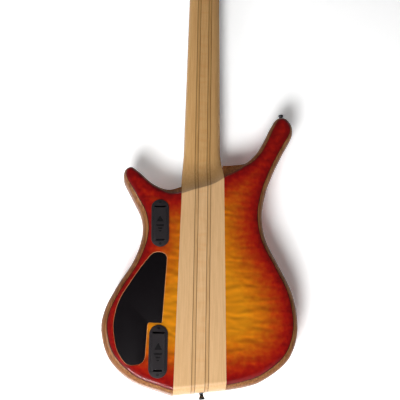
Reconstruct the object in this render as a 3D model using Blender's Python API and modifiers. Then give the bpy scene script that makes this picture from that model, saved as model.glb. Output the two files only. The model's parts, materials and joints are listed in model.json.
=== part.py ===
"""Neck-through five-string electric bass, modelled piece by piece in metres.

The instrument hangs upright. +Z runs up the neck to the headstock, the strings face -Y and the
back faces +Y. The origin is on the neck's centre line, under the playing edge of the nut. The
treble side, with the short horn and the controls, is +X; the bass side is -X.
"""

import math

import bmesh
import bpy
import numpy as np
from mathutils import Matrix, Vector

MM = 0.001
GAP = 0.3 * MM  # glue line or clearance between pieces that touch

# Driving sizes of the whole instrument
SCALE_LENGTH = 864 * MM
BODY_DOWN = 864 * MM - SCALE_LENGTH  # heights on the body are for an 864 mm scale, and move by this
BODY_THICKNESS = 40 * MM
TAIL_FROM_NUT = 943.3 * MM - BODY_DOWN
LAST_FRET = 24
LAST_FRET_Z = -SCALE_LENGTH * (1 - 2 ** (-LAST_FRET / 12))
NUT_WIDTH = 51 * MM
NECK_WIDTH_LAST_FRET = 65 * MM
NECK_THICK_NUT = 14.5 * MM
NECK_THICK_HEEL = 17.5 * MM
STRING_SPREAD_NUT = 42 * MM
STRING_SPREAD_BRIDGE = 66 * MM
STRING_RADII = (0.6 * MM, 0.8 * MM, 1.0 * MM, 1.3 * MM, 1.6 * MM)  # first string to fifth

# The neck-through block and its laminations
BLOCK_TOP_Z = -620 * MM + BODY_DOWN
BLOCK_HALF_TOP = 34.6 * MM
BLOCK_HALF_TAIL = 39.3 * MM
TAIL_SLANT = -0.1236  # the tail edge falls towards the treble side
TAIL_ROUND = 13 * MM
CENTRE_HALF = 6.9 * MM
STRINGER_WIDTH = 6.3 * MM

# Edges and skins of the body
BACK_ROUND = 15 * MM
FRONT_ROUND = 12 * MM
FRONT_WIDTH_SHARE = 0.7
BACK_CAP_THICK = 2.2 * MM
TOP_CAP_THICK = 2.7 * MM
EDGE_MIDDLE = (FRONT_ROUND + BODY_THICKNESS - BACK_ROUND) / 2  # depth of the edge's flat band
COVE_LENGTH = 60 * MM  # from the crease to where the heel has run out into the neck

# Fretboard, nut and headstock
FRETBOARD_THICK = 6 * MM
FRETBOARD_CROWN = 1.2 * MM
FRETBOARD_END_Z = LAST_FRET_Z - 17 * MM
FRET_WIDTH = 2.4 * MM
FRET_HEIGHT = 1.2 * MM
NUT_THICK = 6 * MM
NUT_HEIGHT = 9.2 * MM
HEAD_ANGLE = math.radians(11)
HEAD_THICK = 14 * MM
VENEER_THICK = 1.5 * MM
TRUSS_ROD_WIDTH = 6 * MM
TRUSS_ROD_DEPTH = 9 * MM
ROD_SLOT_WIDTH = 8 * MM
ROD_COVER_THICK = 2 * MM
TRUSS_ROD_END_Z = -585 * MM + BODY_DOWN

# Strings over the bridge
STRING_Y_NUT = -8.6 * MM
STRING_Y_SADDLE = -12.6 * MM
BRIDGE_LENGTH = 46 * MM
BRIDGE_PLATE = 3 * MM
BRIDGE_WALL = 5 * MM
BRIDGE_WALL_HEIGHT = 10 * MM
BRIDGE_WALL_Z = -SCALE_LENGTH - 24 * MM
SADDLE_WIDTH = 15 * MM
SADDLE_LENGTH = 20 * MM
RAIL_THICK = 3 * MM
BRIDGE_WIDTH = STRING_SPREAD_BRIDGE + SADDLE_WIDTH + 2 * (RAIL_THICK + GAP)

# Electrics
PICKUP_WIDTH = 92 * MM
PICKUP_LENGTH = 30 * MM
PICKUP_DEPTH = 13 * MM
PICKUP_PROUD = 6 * MM
PICKUP_Z = (FRETBOARD_END_Z - 37 * MM, -SCALE_LENGTH + 72 * MM)
KNOB_RADIUS = 9.5 * MM
KNOB_HEIGHT = 16 * MM
KNOB_PLACES = {
    "knob_volume": (76 * MM, -768 * MM + BODY_DOWN),
    "knob_blend": (92 * MM, -797 * MM + BODY_DOWN),
    "knob_treble": (106 * MM, -829 * MM + BODY_DOWN),
    "knob_bass": (106 * MM, -865 * MM + BODY_DOWN),
}
CAVITY_FLOOR_Y = 8.5 * MM
CAVITY_LEDGE = 6 * MM
POT_BUSH_RADIUS = 3.8 * MM
POT_SHAFT_RADIUS = 3 * MM
POT_BODY_RADIUS = 8 * MM
JACK_Z = -850 * MM + BODY_DOWN
JACK_RADIUS = 6 * MM
JACK_BORE = 3.4 * MM
JACK_LENGTH = 30 * MM

# Battery boxes: centre of each on the back, and its tilt
BATTERY_BOXES = {
    "upper": (67.9 * MM, -684.4 * MM + BODY_DOWN, math.radians(2.0)),
    "lower": (63.6 * MM, -886.7 * MM + BODY_DOWN, math.radians(0.6)),
}
BATTERY_SIZE = (17.5 * MM, 26.5 * MM, 46.4 * MM)
DOOR_LENGTH = BATTERY_SIZE[2] + 11.2 * MM
BOX_WIDTH = 28.2 * MM
BOX_LENGTH = DOOR_LENGTH + 21.4 * MM
BOX_FLANGE = 1.5 * MM
TUB_WALL = 1.5 * MM
TUB_INNER_WIDTH = 22.2 * MM
DOOR_THICK = 1.6 * MM
HINGE_FROM_CENTRE = -DOOR_LENGTH / 2 + 0.1 * MM
BATTERY_STUD = 2.1 * MM  # height of the two contacts
STUD_RADIUS = 2.8 * MM
STUD_SPACING = 12.7 * MM
CELL_START = 2.2 * MM  # from the hinge to the near end of the cell
CRADLE_END_THICK = 1.2 * MM
CRADLE_DEPTH = 20 * MM

# Tuners: string number to place on the headstock (across, along)
TUNER_PLACES = {
    1: (30 * MM, 60 * MM),
    2: (28 * MM, 106 * MM),
    3: (-26 * MM, 131 * MM),
    4: (-28.5 * MM, 88 * MM),
    5: (-29.5 * MM, 46 * MM),
}
POST_RADIUS = 4.2 * MM
BUSHING_RADIUS = 6.4 * MM
HOUSING_SIZE = (24 * MM, 12.5 * MM, 30 * MM)
WORM_OFFSET = 8 * MM
KEY_SHAFT_RADIUS = 2.6 * MM
STRING_TURNS = 1.6
STRING_ABOVE_HEAD = 9 * MM

STRAP_BUTTON_HEAD = 4.6 * MM
STRAP_BUTTON_NECK = 3.0 * MM
STRAP_BUTTON_LENGTH = 10.2 * MM

# Rim of the treble wing from the neck round the horn to the tail: across, height, edge width
TREBLE_RIM = (
    (33.0, -614.5, 18), (56.0, -621.5, 17), (80.0, -614.0, 13), (105.0, -593.5, 10.5),
    (118.5, -585.2, 9), (128.3, -590.5, 9), (130.3, -604.5, 10), (115.0, -635.5, 14),
    (98.0, -671.0, 19), (95.2, -701.0, 21), (106.9, -743.7, 21), (130.0, -785.0, 21),
    (147.5, -824.5, 21), (150.8, -854.0, 21), (137.0, -896.0, 20), (101.0, -928.5, 17),
    (62.0, -942.0, 14), (39.7, -948.3, 13),
)
# Rim of the bass wing from the tail round the bout and the long horn to the neck
BASS_RIM = (
    (-40.0, -938.4, 13), (-70.0, -932.6, 16), (-94.4, -924.2, 18), (-134.3, -893.5, 21),
    (-149.5, -860.0, 21), (-152.0, -828.0, 21), (-144.5, -787.0, 21), (-124.5, -744.0, 21),
    (-104.5, -702.4, 21), (-98.7, -663.0, 21), (-105.5, -620.0, 19), (-121.0, -578.0, 17),
    (-139.0, -540.0, 15), (-152.5, -512.5, 13.5), (-153.0, -496.0, 12.5), (-145.0, -483.0, 12),
    (-136.0, -479.0, 11.5), (-126.0, -482.5, 12), (-115.0, -500.0, 13), (-102.6, -526.8, 15),
    (-89.0, -550.0, 17), (-70.0, -568.0, 18), (-50.0, -572.3, 18), (-34.0, -572.5, 18),
)
# Crease where the flat back turns down into the heel cove: across, height
HEEL_CREASE = (
    (95.0, -596.0), (75.0, -624.0), (56.0, -634.5), (33.5, -631.0), (14.0, -624.0),
    (-8.0, -616.5), (-21.0, -610.5), (-35.0, -601.0), (-54.0, -590.8), (-71.0, -579.0),
    (-89.5, -560.0), (-101.0, -532.0), (-112.0, -490.0),
)
# Corners of the control cover: across, height, corner radius
COVER_CORNERS = (
    (55.0, -735.0, 8), (59.7, -843.6, 1.5), (81.4, -843.2, 3), (83.5, -905.0, 9),
    (108.0, -908.5, 12), (123.5, -890.0, 25), (132.3, -850.0, 30), (126.5, -812.0, 30),
    (96.0, -760.0, 50), (75.5, -731.0, 10),
)
# Corners of the headstock face: across, along, corner radius
HEAD_CORNERS = (
    (-25.4, -2.5, 0), (25.4, -2.5, 0), (26.5, 14.0, 20), (41.0, 38.0, 20), (40.0, 100.0, 60),
    (33.0, 160.0, 30), (18.0, 192.0, 20), (-22.0, 196.0, 18), (-35.0, 160.0, 30),
    (-41.0, 100.0, 60), (-41.0, 34.0, 20), (-26.5, 14.0, 20),
)

# Corners of the little cover over the truss rod's end: across, along, corner radius
ROD_COVER_CORNERS = ((-8, 1.4, 1.5), (8, 1.4, 1.5), (9.5, 20, 8), (0, 46, 5), (-9.5, 20, 8))
# Corners of the control board behind the potentiometers: across, height, corner radius
BOARD_CORNERS = (
    (66, -758, 4), (86, -758, 4), (103, -786, 10), (117, -822, 10), (117, -876, 4), (95, -876, 4),
    (95, -838, 8), (80, -806, 8),
)


def reset_scene():
    for obj in list(bpy.data.objects):
        bpy.data.objects.remove(obj, do_unlink=True)


def new_collection(name, hidden=False):
    collection = bpy.data.collections.new(name)
    bpy.context.scene.collection.children.link(collection)
    collection.hide_render = hidden
    return collection


def make_material(name, colour, roughness, metallic=0.0):
    material = bpy.data.materials.new(name)
    material.use_nodes = True
    shader = material.node_tree.nodes["Principled BSDF"]
    shader.inputs["Base Color"].default_value = (*colour, 1.0)
    shader.inputs["Roughness"].default_value = roughness
    shader.inputs["Metallic"].default_value = metallic
    return material


reset_scene()
PARTS = new_collection("electric_bass")
CUTTERS = new_collection("cutters", hidden=True)

MAPLE = make_material("maple", (0.70, 0.47, 0.27), 0.35)
STRINGER_MAPLE = make_material("stringer_maple", (0.55, 0.33, 0.16), 0.35)
WALNUT = make_material("walnut", (0.22, 0.10, 0.045), 0.35)
BURST = make_material("burst_maple", (0.55, 0.12, 0.02), 0.15)
EBONY = make_material("ebony", (0.03, 0.022, 0.018), 0.45)
BLACK_PLASTIC = make_material("black_plastic", (0.015, 0.015, 0.017), 0.4)
BLACK_METAL = make_material("black_metal", (0.02, 0.02, 0.022), 0.3, 1.0)
STEEL = make_material("steel", (0.55, 0.55, 0.56), 0.35, 1.0)
BOARD_GREEN = make_material("board_green", (0.03, 0.13, 0.06), 0.5)
CELL_CASE = make_material("cell_case", (0.10, 0.11, 0.13), 0.3, 0.6)


def add_object(name, mesh, material=None, location=(0, 0, 0), parent=None, cutter=False):
    """Put a mesh into the scene as a finished sub-part, or as a hidden cutter."""
    obj = bpy.data.objects.new(name, mesh)
    (CUTTERS if cutter else PARTS).objects.link(obj)
    obj.location = location
    if cutter:
        obj.hide_render = True
        obj.display_type = "WIRE"
    elif material:
        mesh.materials.clear()
        mesh.materials.append(material)
    if parent:
        obj.parent = parent
    return obj


def add_empty(name, location, rotation=(0, 0, 0), parent=None):
    empty = bpy.data.objects.new(name, None)
    PARTS.objects.link(empty)
    empty.location = location
    empty.rotation_euler = rotation
    if parent:
        empty.parent = parent
    return empty


def smooth(mesh, angle=math.radians(40)):
    mesh.shade_smooth()
    mesh.set_sharp_from_angle(angle=angle)
    return mesh


def bm_to_mesh(bm, name="shape"):
    bmesh.ops.recalc_face_normals(bm, faces=bm.faces)
    mesh = bpy.data.meshes.new(name)
    bm.to_mesh(mesh)
    bm.free()
    return mesh


def evaluated_mesh(obj):
    """The object's mesh with its modifiers applied, its doubles merged."""
    graph = bpy.context.evaluated_depsgraph_get()
    mesh = bpy.data.meshes.new_from_object(obj.evaluated_get(graph))
    bm = bmesh.new()
    bm.from_mesh(mesh)
    bmesh.ops.remove_doubles(bm, verts=bm.verts, dist=1e-6)
    bm.to_mesh(mesh)
    bm.free()
    return mesh


def boolean(obj, other, operation="DIFFERENCE"):
    modifier = obj.modifiers.new(operation.lower(), "BOOLEAN")
    modifier.operation = operation
    modifier.object = other
    modifier.solver = "EXACT"


def joined(name, meshes):
    """One closed mesh from overlapping shapes, by Boolean unions."""
    base = add_object(name + "_base", meshes[0], cutter=True)
    extra = [add_object(name + "_joined", mesh, cutter=True) for mesh in meshes[1:]]
    for other in extra:
        boolean(base, other, "UNION")
    bpy.context.view_layer.update()
    mesh = evaluated_mesh(base)
    for obj in [base, *extra]:
        bpy.data.objects.remove(obj, do_unlink=True)
    return mesh


def moved(mesh, offset=(0, 0, 0), turn=Matrix.Identity(4)):
    mesh.transform(Matrix.Translation(Vector(offset)) @ turn)
    return mesh


def box(low, high, bevel=0.0, segments=2):
    """A block between two corners, its edges rounded if a bevel is given."""
    bm = bmesh.new()
    bmesh.ops.create_cube(bm, size=1.0)
    size = Vector(high) - Vector(low)
    bmesh.ops.scale(bm, vec=size, verts=bm.verts)
    bmesh.ops.translate(bm, vec=Vector(low) + size / 2, verts=bm.verts)
    if bevel:
        bmesh.ops.bevel(bm, geom=bm.edges[:], offset=bevel, segments=segments, affect="EDGES")
    return bm_to_mesh(bm)


def cylinder(radius, start, end, sides=16, radius_end=None):
    """A cylinder or cone along Y from start to end."""
    bm = bmesh.new()
    bmesh.ops.create_cone(bm, cap_ends=True, segments=sides, radius1=radius,
                          radius2=radius if radius_end is None else radius_end,
                          depth=abs(end - start))
    bmesh.ops.rotate(bm, matrix=Matrix.Rotation(math.pi / 2, 3, "X"), verts=bm.verts)
    if end > start:
        bmesh.ops.rotate(bm, matrix=Matrix.Rotation(math.pi, 3, "Z"), verts=bm.verts)
    bmesh.ops.translate(bm, vec=(0, (start + end) / 2, 0), verts=bm.verts)
    return smooth(bm_to_mesh(bm))


def turned(profile, sides):
    """A profile of (radius, height) from top to bottom, turned about Z with the Screw modifier."""
    mesh = bpy.data.meshes.new("profile")
    points = [(radius, 0, height) for radius, height in profile]
    mesh.from_pydata(points, [(i, i + 1) for i in range(len(points) - 1)], [])
    obj = add_object("turned_profile", mesh, cutter=True)
    screw = obj.modifiers.new("turn", "SCREW")
    screw.steps = screw.render_steps = sides
    screw.use_merge_vertices = True
    screw.merge_threshold = 1e-5
    bpy.context.view_layer.update()
    result = evaluated_mesh(obj)
    bpy.data.objects.remove(obj, do_unlink=True)
    return smooth(result, math.radians(25))


def plate(outline, low, high):
    """A flat outline in X and Z, as a filled 2D curve with thickness, from y = low to y = high."""
    curve = bpy.data.curves.new("outline", "CURVE")
    curve.dimensions = "2D"
    curve.fill_mode = "BOTH"
    curve.extrude = (high - low) / 2
    spline = curve.splines.new("POLY")
    spline.points.add(len(outline) - 1)
    for point, (x, z) in zip(spline.points, outline):
        point.co = (x, z, 0, 1)
    spline.use_cyclic_u = True
    obj = bpy.data.objects.new("outline", curve)
    CUTTERS.objects.link(obj)
    bpy.context.view_layer.update()
    mesh = evaluated_mesh(obj)
    bpy.data.objects.remove(obj, do_unlink=True)
    bpy.data.curves.remove(curve)
    bm = bmesh.new()
    bm.from_mesh(mesh)
    bmesh.ops.rotate(bm, matrix=Matrix.Rotation(math.pi / 2, 3, "X"), verts=bm.verts)
    bmesh.ops.translate(bm, vec=(0, (low + high) / 2, 0), verts=bm.verts)
    return bm_to_mesh(bm)


def tube(points, radii, resolution=1):
    """A wire along points, its radius given at each point, as a curve with a bevel."""
    curve = bpy.data.curves.new("wire", "CURVE")
    curve.dimensions = "3D"
    curve.bevel_depth = 1.0 * MM
    curve.bevel_resolution = resolution
    curve.use_fill_caps = True
    spline = curve.splines.new("POLY")
    spline.points.add(len(points) - 1)
    for point, place, radius in zip(spline.points, points, radii):
        point.co = (*place, 1)
        point.radius = radius / (1.0 * MM)
    obj = bpy.data.objects.new("wire", curve)
    CUTTERS.objects.link(obj)
    bpy.context.view_layer.update()
    mesh = evaluated_mesh(obj)
    bpy.data.objects.remove(obj, do_unlink=True)
    bpy.data.curves.remove(curve)
    return smooth(mesh, math.radians(60))


def loft(rings):
    """A closed skin through rings of equally many points, with a flat cap on each end."""
    bm = bmesh.new()
    rows = [[bm.verts.new(point) for point in ring] for ring in rings]
    for row, following in zip(rows, rows[1:]):
        for i, vert in enumerate(row):
            j = (i + 1) % len(row)
            bm.faces.new((vert, row[j], following[j], following[i]))
    bm.faces.new(reversed(rows[0]))
    bm.faces.new(rows[-1])
    return bm_to_mesh(bm)


def spline_through(anchors, steps):
    """Points of a centripetal Catmull-Rom curve through rows of numbers, `steps` to each span."""
    rows = np.array(anchors, float)
    rows = np.vstack([2 * rows[0] - rows[1], rows, 2 * rows[-1] - rows[-2]])
    knots = np.concatenate([[0], np.cumsum(np.linalg.norm(np.diff(rows[:, :2], axis=0), axis=1) ** 0.5)])
    result = []
    for i in range(1, len(rows) - 2):
        t0, t1, t2, t3 = knots[i - 1:i + 3]
        for t in np.linspace(t1, t2, steps, endpoint=False):
            a1 = ((t1 - t) * rows[i - 1] + (t - t0) * rows[i]) / (t1 - t0)
            a2 = ((t2 - t) * rows[i] + (t - t1) * rows[i + 1]) / (t2 - t1)
            a3 = ((t3 - t) * rows[i + 1] + (t - t2) * rows[i + 2]) / (t3 - t2)
            b1 = ((t2 - t) * a1 + (t - t0) * a2) / (t2 - t0)
            b2 = ((t3 - t) * a2 + (t - t1) * a3) / (t3 - t1)
            result.append(((t2 - t) * b1 + (t - t1) * b2) / (t2 - t1))
    result.append(rows[-2])
    return np.array(result)


def grown(corners, distance):
    """A polygon of (across, height, radius) corners in mm, each side moved outwards by a distance."""
    points = np.array([corner[:2] for corner in corners], float)
    after = np.roll(points, -1, axis=0) - points
    before = np.roll(after, 1, axis=0)
    turning = np.sign(before[:, 0] * after[:, 1] - before[:, 1] * after[:, 0])
    winding = np.sign(turning.sum())
    after /= np.linalg.norm(after, axis=1)[:, None]
    normals = winding * np.stack([after[:, 1], -after[:, 0]], axis=1)
    previous = np.roll(normals, 1, axis=0)
    mitre = (normals + previous) / (1 + (normals * previous).sum(axis=1))[:, None]
    moved_points = points + mitre * distance / MM
    radii = [max(0.8, radius + turn * winding * distance / MM)
             for (_, _, radius), turn in zip(corners, turning)]
    return [(x, z, radius) for (x, z), radius in zip(moved_points, radii)]


def rounded_outline(corners, arc_steps=4):
    """A polygon of (across, height, radius) corners in mm with an arc at each corner, in metres."""
    points = [Vector((x, z)) * MM for x, z, _ in corners]
    outline = []
    count = len(points)
    for i, (_, _, radius) in enumerate(corners):
        before = (points[i - 1] - points[i]).normalized()
        after = (points[(i + 1) % count] - points[i]).normalized()
        half = before.angle(after) / 2
        reach = radius * MM / math.tan(half)
        if reach < 1e-6:
            outline.append(points[i])
            continue
        centre = points[i] + (before + after).normalized() * (radius * MM / math.sin(half))
        start = points[i] + before * reach - centre
        end = points[i] + after * reach - centre
        sweep = start.angle_signed(end)
        steps = max(1, round(arc_steps * abs(sweep) / (math.pi / 4)))
        for step in range(steps + 1):
            turn = Matrix.Rotation(-sweep * step / steps, 2)
            outline.append(centre + turn @ start)
    return [(point.x, point.y) for point in outline]


def pill(width, length, steps=8):
    """The outline of a slot with round ends, long along Z."""
    radius = width / 2
    straight = length / 2 - radius
    outline = []
    for sign in (1, -1):
        for step in range(steps + 1):
            angle = math.pi * step / steps
            outline.append((sign * radius * math.cos(angle), sign * (straight + radius * math.sin(angle))))
    return outline


def block_half_width(z):
    """Half the width of the neck-through block at a height; its edges are straight."""
    share = (z - BLOCK_TOP_Z) / (-TAIL_FROM_NUT - BLOCK_TOP_Z)
    return BLOCK_HALF_TOP + (BLOCK_HALF_TAIL - BLOCK_HALF_TOP) * share


def neck_half_width(z):
    return (NUT_WIDTH + (NECK_WIDTH_LAST_FRET - NUT_WIDTH) * z / LAST_FRET_Z) / 2


def neck_thickness(z):
    """Wood from the glue plane of the fretboard to the crown of the neck's back."""
    along = min(1.0, max(0.0, z / BLOCK_TOP_Z))
    volute = 2.5 * MM * math.exp(-((z - 8 * MM) / (14 * MM)) ** 2)
    return NECK_THICK_NUT + (NECK_THICK_HEEL - NECK_THICK_NUT) * along + volute


def edge_inset(y, width):
    """How far the rim has drawn in at depth y, for an elliptical rounding of the given width."""
    back_start = BODY_THICKNESS - BACK_ROUND
    if y > back_start:
        share = min(1.0, (y - back_start) / BACK_ROUND)
        return width * (1 - math.sqrt(1 - share * share))
    share = max(0.0, (FRONT_ROUND - y) / FRONT_ROUND)
    return FRONT_WIDTH_SHARE * width * (1 - math.sqrt(1 - share * share))


def rim_points(rim, steps=3):
    """Rim points in metres with inward normals, run on into the block at both ends."""
    rows = spline_through(rim, steps) + np.array([0, BODY_DOWN / MM, 0])
    into_block = 22.0
    first = rows[0] + (rows[0] - rows[1]) / np.linalg.norm((rows[0] - rows[1])[:2]) * into_block
    last = rows[-1] + (rows[-1] - rows[-2]) / np.linalg.norm((rows[-1] - rows[-2])[:2]) * into_block
    rows = np.vstack([first, rows, last])
    tangent = np.gradient(rows[:, :2], axis=0)
    tangent[0] = rows[1, :2] - rows[0, :2]
    tangent[-1] = rows[-1, :2] - rows[-2, :2]
    tangent /= np.linalg.norm(tangent, axis=1)[:, None]
    inward = np.stack([tangent[:, 1], -tangent[:, 0]], axis=1)
    return rows[:, :2] * MM, inward, rows[:, 2] * MM


def slab(rim, levels):
    """Half of the body between depths, its rim drawn in at each level by the edge rounding."""
    places, inward, widths = rim_points(rim)
    rings = []
    for y in levels:
        inset = np.array([edge_inset(y, width) for width in widths])
        ring = places + inward * inset[:, None]
        rings.append([(x, y, z) for x, z in ring])
    return loft(rings)


def block_cutter():
    """The neck-through block's room between the wings, one glue line wider on each side."""
    top, bottom = BLOCK_TOP_Z + 220 * MM, -TAIL_FROM_NUT - 57 * MM
    outline = [(side * (block_half_width(z) + GAP), z)
               for side, z in ((1, top), (1, bottom), (-1, bottom), (-1, top))]
    return add_object("block_room", plate(outline, -30 * MM, 80 * MM), cutter=True)


def heel_crease_z(x):
    """The height of the crease between the flat back and the heel cove, across the instrument."""
    crease = spline_through(HEEL_CREASE, 6)[::-1] * MM + np.array([0, BODY_DOWN])
    return np.interp(x, crease[:, 0], crease[:, 1])


def cove_height(travel, neck_back):
    """The surface of the cove at a distance above the crease: a parabola down to the neck's back."""
    share = np.clip(1 - travel / COVE_LENGTH, 0, None)
    return neck_back + (BODY_THICKNESS - neck_back) * share ** 2


def cove_cutter():
    """What the heel carving takes away from the wings and skins beside the neck."""
    crease = spline_through(HEEL_CREASE, 3) * MM + np.array([0, BODY_DOWN])
    travels = np.array([-2, 0, 6, 12, 19, 27, 36, 48]) * MM
    beyond = COVE_LENGTH + 60 * MM
    clear_of_back = BODY_THICKNESS + 20 * MM
    rings = []
    for x, z in crease:
        heights = cove_height(travels, NECK_THICK_HEEL)
        ring = [(x, height, z + travel) for travel, height in zip(travels, heights)]
        ring += [(x, NECK_THICK_HEEL, z + beyond), (x, clear_of_back, z + beyond),
                 (x, clear_of_back, z + travels[0])]
        rings.append(ring)
    return add_object("heel_cove", loft(rings), cutter=True)


def pickup_cutter(index):
    """The pocket for a pickup, open to the front."""
    room = 0.5 * MM
    low = (-PICKUP_WIDTH / 2 - room, -10 * MM, PICKUP_Z[index] - PICKUP_LENGTH / 2 - room)
    high = (PICKUP_WIDTH / 2 + room, PICKUP_DEPTH + room, PICKUP_Z[index] + PICKUP_LENGTH / 2 + room)
    return add_object(f"pickup_pocket_{index}", box(low, high), cutter=True)


def neck_ring(columns, z, height, squareness):
    """A section of the neck: a D with a short side wall, or a square shoulder where it is heel."""
    side_wall = 3 * MM
    roundness = 2.4
    halves = blank_half_width(z)
    crown = side_wall + (height - side_wall) * (1 - np.abs(columns) ** roundness) ** (1 / roundness)
    back = crown + (height - crown) * squareness
    ring = [(half * u, y, level) for half, u, y, level in zip(halves, columns, back, z)]
    return [(-halves[0], 0, z[0]), *ring, (halves[-1], 0, z[-1])]


def ease(share):
    """A smooth step from 0 to 1."""
    share = np.clip(share, 0, 1)
    return share * share * (3 - 2 * share)


def blank_half_width(z):
    """The neck's taper, flaring into the block's where the wings begin."""
    flare = ease((BLOCK_TOP_Z + 80 * MM - z) / (65 * MM))
    return neck_half_width(z) * (1 - flare) + block_half_width(z) * flare


def tail_ring(columns, inset):
    """A section of the block near the slanted, rounded tail."""
    x = block_half_width(-TAIL_FROM_NUT) * columns
    z = -TAIL_FROM_NUT + TAIL_SLANT * x + inset
    back_share = 1 - min(1, inset / TAIL_ROUND)
    front_share = 1 - min(1, inset / (TAIL_ROUND * FRONT_WIDTH_SHARE))
    back = BODY_THICKNESS - BACK_ROUND * (1 - math.sqrt(1 - back_share ** 2))
    front = FRONT_ROUND * (1 - math.sqrt(1 - front_share ** 2))
    return [(x[0], front, z[0]), *[(across, back, level) for across, level in zip(x, z)],
            (x[-1], front, z[-1])]


def blank_shape():
    """Neck, heel and block as one skin, its sections sheared so that the crease is one of them."""
    columns = np.sin(np.linspace(-math.pi / 2, math.pi / 2, 17))
    rings = []
    near_nut = (NUT_THICK + 0.5 * MM, 0, -8 * MM, -18 * MM, -32 * MM, -60 * MM, -120 * MM)
    for level in (*near_nut, BLOCK_TOP_Z / 2 + 10 * MM, BLOCK_TOP_Z + 160 * MM):
        z = np.full(len(columns), level)
        shoulder = ease(1 + (level - NUT_THICK) / (40 * MM))
        rings.append(neck_ring(columns, z, neck_thickness(level), shoulder))
    crease = heel_crease_z(BLOCK_HALF_TOP * columns)
    middle = crease[len(crease) // 2]
    for travel in np.array([100, 84, 70, 58, 47, 37, 28, 20, 13, 6, 0]) * MM:
        z = middle + travel + (crease - middle) * (1 - ease(travel / (120 * MM)))
        height = cove_height(travel, neck_thickness(middle + travel))
        rings.append(neck_ring(columns, z, height, 1 - ease((travel - 14 * MM) / (70 * MM))))
    for inset in np.array([13, 9, 6, 3.5, 1.5, 0.4, 0.0]) * MM:
        rings.append(tail_ring(columns, inset))
    return loft(rings)


def head_frame():
    """The plane of the headstock: its origin behind the nut, Z along the head, Y to its back."""
    return Matrix.Translation((0, 0, NUT_THICK)) @ Matrix.Rotation(-HEAD_ANGLE, 4, "X")


def head_shape():
    """The headstock blank, drilled for the tuners and tilted back behind the nut."""
    front = VENEER_THICK + GAP
    outline = plate(rounded_outline(HEAD_CORNERS, arc_steps=3), front, front + HEAD_THICK)
    head = add_object("head_blank", outline, cutter=True)
    for number, (across, along) in TUNER_PLACES.items():
        hole = moved(cylinder(BUSHING_RADIUS + GAP, -10 * MM, 30 * MM, sides=12), (across, 0, along))
        boolean(head, add_object(f"tuner_hole_{number}", hole, cutter=True))
    bpy.context.view_layer.update()
    mesh = evaluated_mesh(head)
    bpy.data.objects.remove(head, do_unlink=True)
    mesh.transform(head_frame())
    return mesh


def neck_blank(pickups):
    """Neck, block and headstock as one blank before it is sliced into its laminations."""
    blank = add_object("blank", joined("blank", [blank_shape(), head_shape()]), cutter=True)
    for pocket in pickups:
        boolean(blank, pocket)
    bpy.context.view_layer.update()
    carved = evaluated_mesh(blank)
    bpy.data.objects.remove(blank, do_unlink=True)
    return carved


def laminations(blank):
    """Five strips glued side by side: the blank sliced by upright boxes."""
    rod_room = add_object(
        "truss_rod_room",
        box((-TRUSS_ROD_WIDTH / 2 - GAP, -5 * MM, TRUSS_ROD_END_Z - GAP),
            (TRUSS_ROD_WIDTH / 2 + GAP, TRUSS_ROD_DEPTH + GAP, 34 * MM)),
        cutter=True)
    inner = CENTRE_HALF
    outer = CENTRE_HALF + STRINGER_WIDTH
    far = 80 * MM
    strips = {
        "neck_center_lamination": (-inner + GAP / 2, inner - GAP / 2, MAPLE),
        "neck_stringer_treble": (inner + GAP / 2, outer - GAP / 2, STRINGER_MAPLE),
        "neck_stringer_bass": (-outer + GAP / 2, -inner - GAP / 2, STRINGER_MAPLE),
        "neck_outer_lamination_treble": (outer + GAP / 2, far, MAPLE),
        "neck_outer_lamination_bass": (-far, -outer - GAP / 2, MAPLE),
    }
    for name, (low, high, material) in strips.items():
        strip = add_object(name, blank.copy(), material)
        upright = box((low, -60 * MM, -1200 * MM), (high, 120 * MM, 400 * MM))
        boolean(strip, add_object(name + "_slice", upright, cutter=True), "INTERSECT")
        if "center" in name:
            boolean(strip, rod_room)


def wing(name, rim, cutters):
    """The walnut core of one side of the body, between its two skins."""
    levels = (TOP_CAP_THICK + GAP, 6 * MM, FRONT_ROUND, BODY_THICKNESS - BACK_ROUND,
              BODY_THICKNESS - 9 * MM, BODY_THICKNESS - 5.5 * MM, BODY_THICKNESS - BACK_CAP_THICK - GAP)
    obj = add_object(name, smooth(slab(rim, levels), math.radians(25)), WALNUT)
    for cutter in cutters:
        boolean(obj, cutter)
    return obj


def cap(name, rim, levels, cutters):
    """A thin figured skin on the front or back of a wing."""
    obj = add_object(name, smooth(slab(rim, levels), math.radians(25)), BURST)
    for cutter in cutters:
        boolean(obj, cutter)
    return obj


def cover_outline(distance=0.0):
    outline = rounded_outline(grown(COVER_CORNERS, distance), arc_steps=3)
    return [(x, z + BODY_DOWN) for x, z in outline]


def cavity_cutter():
    """The control cavity under its cover, leaving a ledge for the cover's screws."""
    outline = cover_outline(-CAVITY_LEDGE)
    return add_object("control_cavity", plate(outline, CAVITY_FLOOR_Y, 60 * MM), cutter=True)


def cover_opening():
    return add_object("cover_opening", plate(cover_outline(GAP), 20 * MM, 60 * MM), cutter=True)


def box_matrix(side):
    """Where a battery box sits: centred on the back skin, X across, Z along, Y out of the back."""
    across, height, tilt = BATTERY_BOXES[side]
    return Matrix.Translation((across, BODY_THICKNESS, height)) @ Matrix.Rotation(tilt, 4, "Y")


def tub_size():
    """Outer width, depth and length of a battery tub; the length clears the swinging cell."""
    far_corner = math.hypot(BATTERY_SIZE[2] + BATTERY_STUD + 1.5 * MM, BATTERY_SIZE[1] + 1.5 * MM)
    length = max(DOOR_LENGTH, far_corner) + 3 * MM + 2 * TUB_WALL
    return TUB_INNER_WIDTH + 2 * TUB_WALL, BATTERY_SIZE[1] + 2.5 * MM + TUB_WALL, length


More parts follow.
